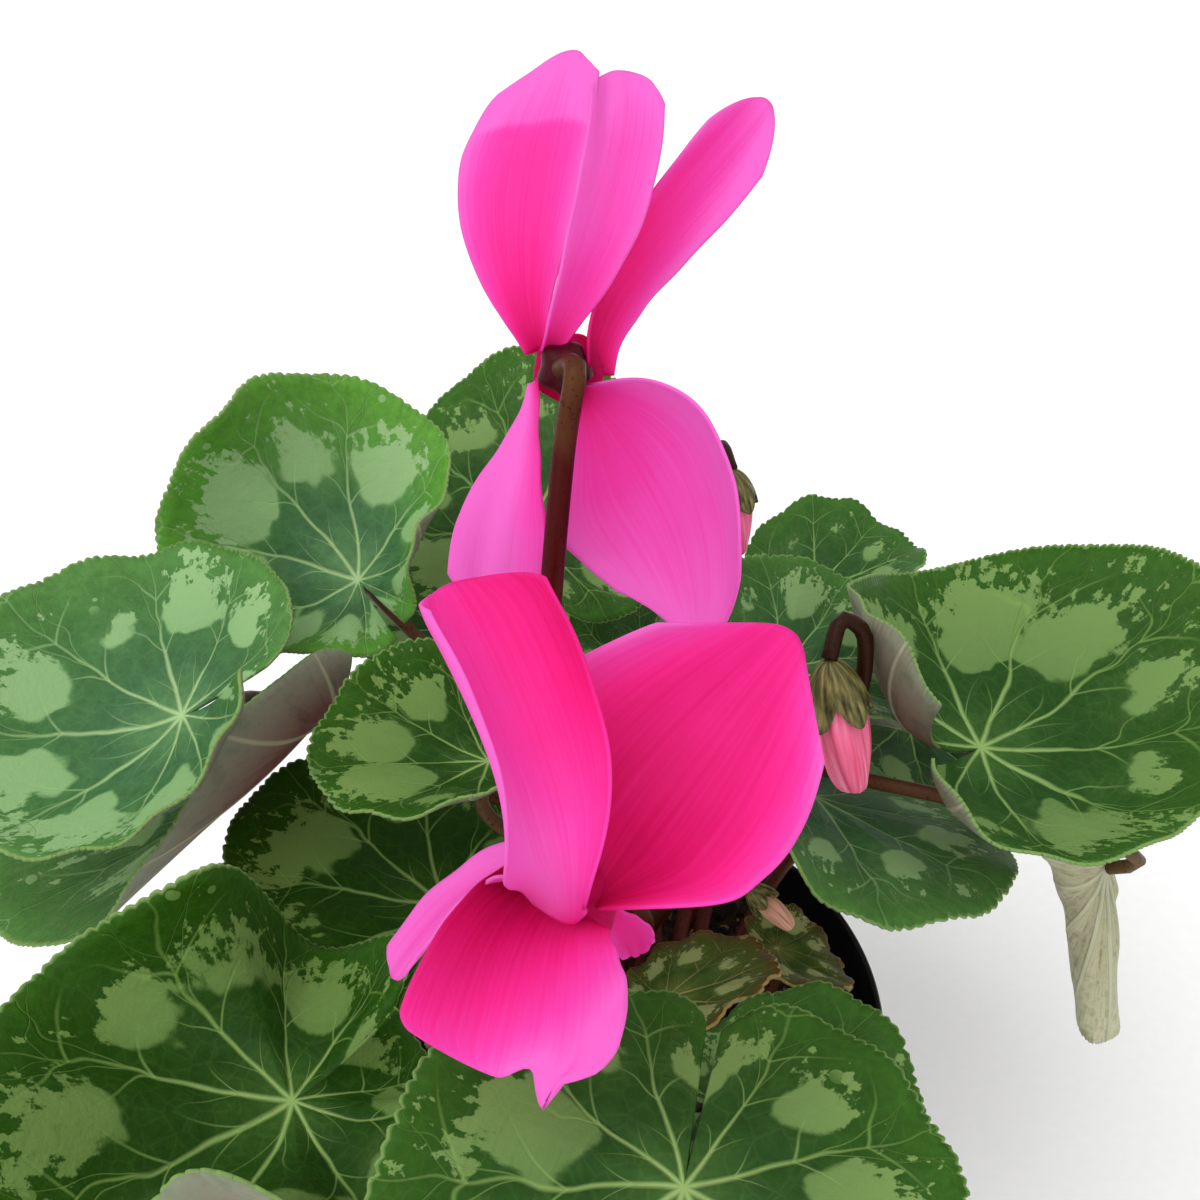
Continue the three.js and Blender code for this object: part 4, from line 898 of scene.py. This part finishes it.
# a profile of (radius, height) turned about the pot's axis, each point then moved by shift(r, bearing, z)
def turnedMesh(name, profile, steps, shift=None):
    bm = bmesh.new()
    verts = [bm.verts.new((r * mm, 0, z * mm)) for r, z in profile]
    edges = [bm.edges.new(pair) for pair in zip(verts, verts[1:])]
    bmesh.ops.spin(bm, geom=verts + edges, cent=(0, 0, 0), axis=(0, 0, 1), angle=2 * math.pi, steps=steps,
                   use_merge=True)
    bmesh.ops.remove_doubles(bm, verts=bm.verts, dist=1e-6)
    bmesh.ops.recalc_face_normals(bm, faces=bm.faces)
    for vert in bm.verts if shift else []:
        r, bearing, z = vert.co.to_2d().length / mm, math.atan2(vert.co.y, vert.co.x), vert.co.z / mm
        r, z = shift(r, bearing, z)
        vert.co = Vector((r * math.cos(bearing), r * math.sin(bearing), z)) * mm
    for face in bm.faces:
        face.smooth = True
    mesh = meshOf(name, bm)
    mesh.set_sharp_from_angle(angle=math.radians(40))
    return mesh


# rim, foot, hole and holeCircle are radii. The band under the rim stands out from the wall by step, round
# softens its edge, and curb is the radius of the pot's lower edge
pot = {
    "height": 95, "rim": 55, "foot": 39, "wall": 1.3, "floor": 1.6, "band": 11, "step": 1.8, "round": 0.5,
    "curb": 2, "holes": 6, "hole": 4, "holeCircle": 27, "steps": 144,
}
bandFoot = pot["height"] - pot["band"]


# inner radius of the wall at a height
def inner(z):
    return pot["foot"] - pot["wall"] + (pot["rim"] - pot["step"] - pot["foot"]) / bandFoot * z


half = pot["wall"] / 2
lip = [(pot["rim"] - half + half * math.cos(t), pot["height"] - half + half * math.sin(t))
       for t in np.linspace(0, math.pi, 9)]
curb = [(pot["foot"] - pot["curb"] * (1 - math.sin(t)), pot["curb"] * (1 - math.cos(t)))
        for t in np.linspace(0, math.pi / 2, 7)]
band = [(pot["rim"] - pot["step"], bandFoot), (pot["rim"] - pot["round"], bandFoot + 0.6),
        (pot["rim"], bandFoot + 2)]
inside = [(pot["rim"] - pot["wall"] - 0.3, bandFoot + 2.4), (inner(bandFoot), bandFoot),
          (inner(pot["floor"] + 1), pot["floor"] + 1), (inner(0) - 1, pot["floor"])]
potProfile = [(0, 0), *curb, *band, *lip, *inside, (0, pot["floor"])]
potMesh = turnedMesh("pot", potProfile, pot["steps"])
potPiece = addPiece("nursery_pot", potMesh, [potBlack], ["pot"])
bm = bmesh.new()  # drain holes
for i in range(pot["holes"]):
    bearing = 2 * math.pi * i / pot["holes"]
    drill = bmesh.ops.create_cone(bm, cap_ends=True, segments=32, radius1=pot["hole"] * mm,
                                  radius2=pot["hole"] * mm, depth=4 * pot["floor"] * mm)
    aside = Vector((math.cos(bearing), math.sin(bearing), 0)) * pot["holeCircle"] * mm
    bmesh.ops.translate(bm, verts=drill["verts"], vec=aside)
drillBit = bpy.data.objects.new("drill", meshOf("drill", bm))
bpy.context.scene.collection.objects.link(drillBit)
cut = potPiece.modifiers.new("drain holes", "BOOLEAN")
cut.object = drillBit
cut.operation = "DIFFERENCE"
cut.solver = "EXACT"
bpy.context.view_layer.update()
drilled = bpy.data.meshes.new_from_object(potPiece.evaluated_get(bpy.context.evaluated_depsgraph_get()))
potPiece.modifiers.clear()
potPiece.data = drilled
bpy.data.objects.remove(drillBit)
print("pot made")

# Soil: peat and bark crumbs with tan grit
peat, tree, point = newMaterial("pottingPeat")
crumb = addNode(tree, "TexVoronoi", {"Vector": point, "Scale": 1000 / 2.381})
dust = addNode(tree, "TexNoise", {"Vector": point, "Scale": 1000 / 1.111, "Detail": 4})
colour = addNode(tree, "ValToRGB", [crumb.outputs["Color"]],
                 [(0.2, "#1A120C"), (0.55, "#33241A"), (0.8, "#4A3626"), (0.95, "#8A6E4C")])
height = addNode(tree, "Math", [crumb, dust], operation="ADD")
finishMaterial(tree, colour, 0.95, relief=height, strength=0.9, depth=1.2)

# grit: pale tan crumbs of sand and perlite
grit, tree, point = newMaterial("sandGrit")
cloud = addNode(tree, "TexNoise", {"Vector": point, "Scale": 1000 / 4.167, "Detail": 3})
colour = addNode(tree, "ValToRGB", [cloud], [(0.35, "#5C4630"), (0.5, "#8E7350"), (0.65, "#B79E78")])
finishMaterial(tree, colour, 0.85)

# below is how far the soil's top lies under the rim, gap the air at the pot's wall and floor, and bedAir
# the air under the corm
soilSettings = {
    "below": 12, "gap": 0.35, "bedAir": 0.9, "roughness": 1.1, "grain": 0.5, "steps": 180, "seed": 5,
    "crumbs": 900, "crumbSize": (0.35, 1.1), "gritShare": 0.22,
}
soilTop = pot["height"] - soilSettings["below"]
waist = corm["top"] - corm["height"] / 2
bedRadius = corm["radius"] + 1
rimAt = inner(soilTop) - soilSettings["gap"]


# height of the soil: the bed that holds the corm, then a rough surface falling a little to the rim
def soilHeight(x, y):
    r = math.hypot(x, y)
    if r < bedRadius:
        deep = corm["height"] / 2 + soilSettings["bedAir"]
        return waist - deep * math.sqrt(max(0, 1 - (r / bedRadius) ** 2.5))
    broad = math.sin(x * 0.45) * math.cos(y * 0.39) + 0.5 * math.sin(x * 1.1 + y * 0.9)
    fine = noise.noise(Vector((x, y, 0)) * 0.9) + 0.5 * noise.noise(Vector((x, y, 4)) * 2.1)
    fall = 0.004 * max(0, r - corm["radius"]) ** 1.5
    return soilTop + soilSettings["roughness"] * broad + soilSettings["grain"] * fine - fall


def shiftSoil(r, bearing, z):
    if z > soilTop - 0.5:
        z = soilHeight(r * math.cos(bearing), r * math.sin(bearing))
    return r, z


bottom = pot["floor"] + soilSettings["gap"]
soilProfile = [(0, bottom), (inner(pot["floor"]) - 1 - soilSettings["gap"], bottom),
               (rimAt - 0.3, soilTop - 1.8), *((r, soilTop) for r in np.linspace(rimAt - 0.8, 0, 60))]
soilMesh = turnedMesh("soil", soilProfile, soilSettings["steps"], shiftSoil)
draw = np.random.default_rng(soilSettings["seed"])
crumbMesh = bpy.data.meshes.new("crumb")
bm = bmesh.new()
bm.from_mesh(soilMesh)
for i in range(soilSettings["crumbs"]):
    r = math.sqrt(draw.uniform((corm["radius"] + 1.5) ** 2, (rimAt - 2) ** 2))
    bearing = draw.uniform(0, 2 * math.pi)
    x, y = r * math.cos(bearing), r * math.sin(bearing)
    size = draw.uniform(*soilSettings["crumbSize"])
    crumb = bmesh.new()
    bmesh.ops.create_icosphere(crumb, subdivisions=1, radius=size * mm)
    bmesh.ops.scale(crumb, verts=crumb.verts, vec=Vector(draw.uniform(0.6, 1.3, 3)))
    bmesh.ops.translate(crumb, verts=crumb.verts, vec=Vector((x, y, soilHeight(x, y) + 0.2 * size)) * mm)
    tan = int(draw.random() < soilSettings["gritShare"])
    for face in crumb.faces:
        face.material_index = tan
    crumb.to_mesh(crumbMesh)
    crumb.free()
    bm.from_mesh(crumbMesh)
bm.to_mesh(soilMesh)
bm.free()
bpy.data.meshes.remove(crumbMesh)
addPiece("peat_bed", soilMesh, [peat, grit], ["soil"])

# Corm: corky brown skin with cracks and old leaf scars
cork, tree, point = newMaterial("corkyCormSkin")
crack = addNode(tree, "TexVoronoi", {"Vector": point, "Scale": 1000 / 3.846}, feature="DISTANCE_TO_EDGE")
cloud = addNode(tree, "TexNoise", {"Vector": point, "Scale": 1000 / 8.333, "Detail": 5})
colour = addNode(tree, "ValToRGB", [cloud], [(0.3, "#3A2A1E"), (0.55, "#5E4632"), (0.75, "#7C6248")])
finishMaterial(tree, colour, 0.9, relief=crack, strength=0.7, depth=1)


def shiftCorm(r, bearing, z):
    swell = 1 + 0.03 * math.sin(3 * bearing + 1) + 0.02 * math.sin(5 * bearing)
    x, y = r * math.cos(bearing), r * math.sin(bearing)
    lump = noise.noise(Vector((x, y, z)) * 0.16) + 0.5 * noise.noise(Vector((x, y, z)) * 0.45)
    return r * (swell + 0.02 * lump), z + 0.5 * lump * min(1, r / 4)


cormProfile = []
for turn in np.linspace(-math.pi / 2, math.pi / 2, 41):
    r = corm["radius"] * max(0, math.cos(turn)) ** 0.8
    cormProfile.append((r if r > 0.01 else 0, waist + corm["height"] / 2 * math.sin(turn)))
addPiece("corm_body", turnedMesh("corm", cormProfile, corm["steps"], shiftCorm), [cork], ["corm"])
print("soil and corm made")
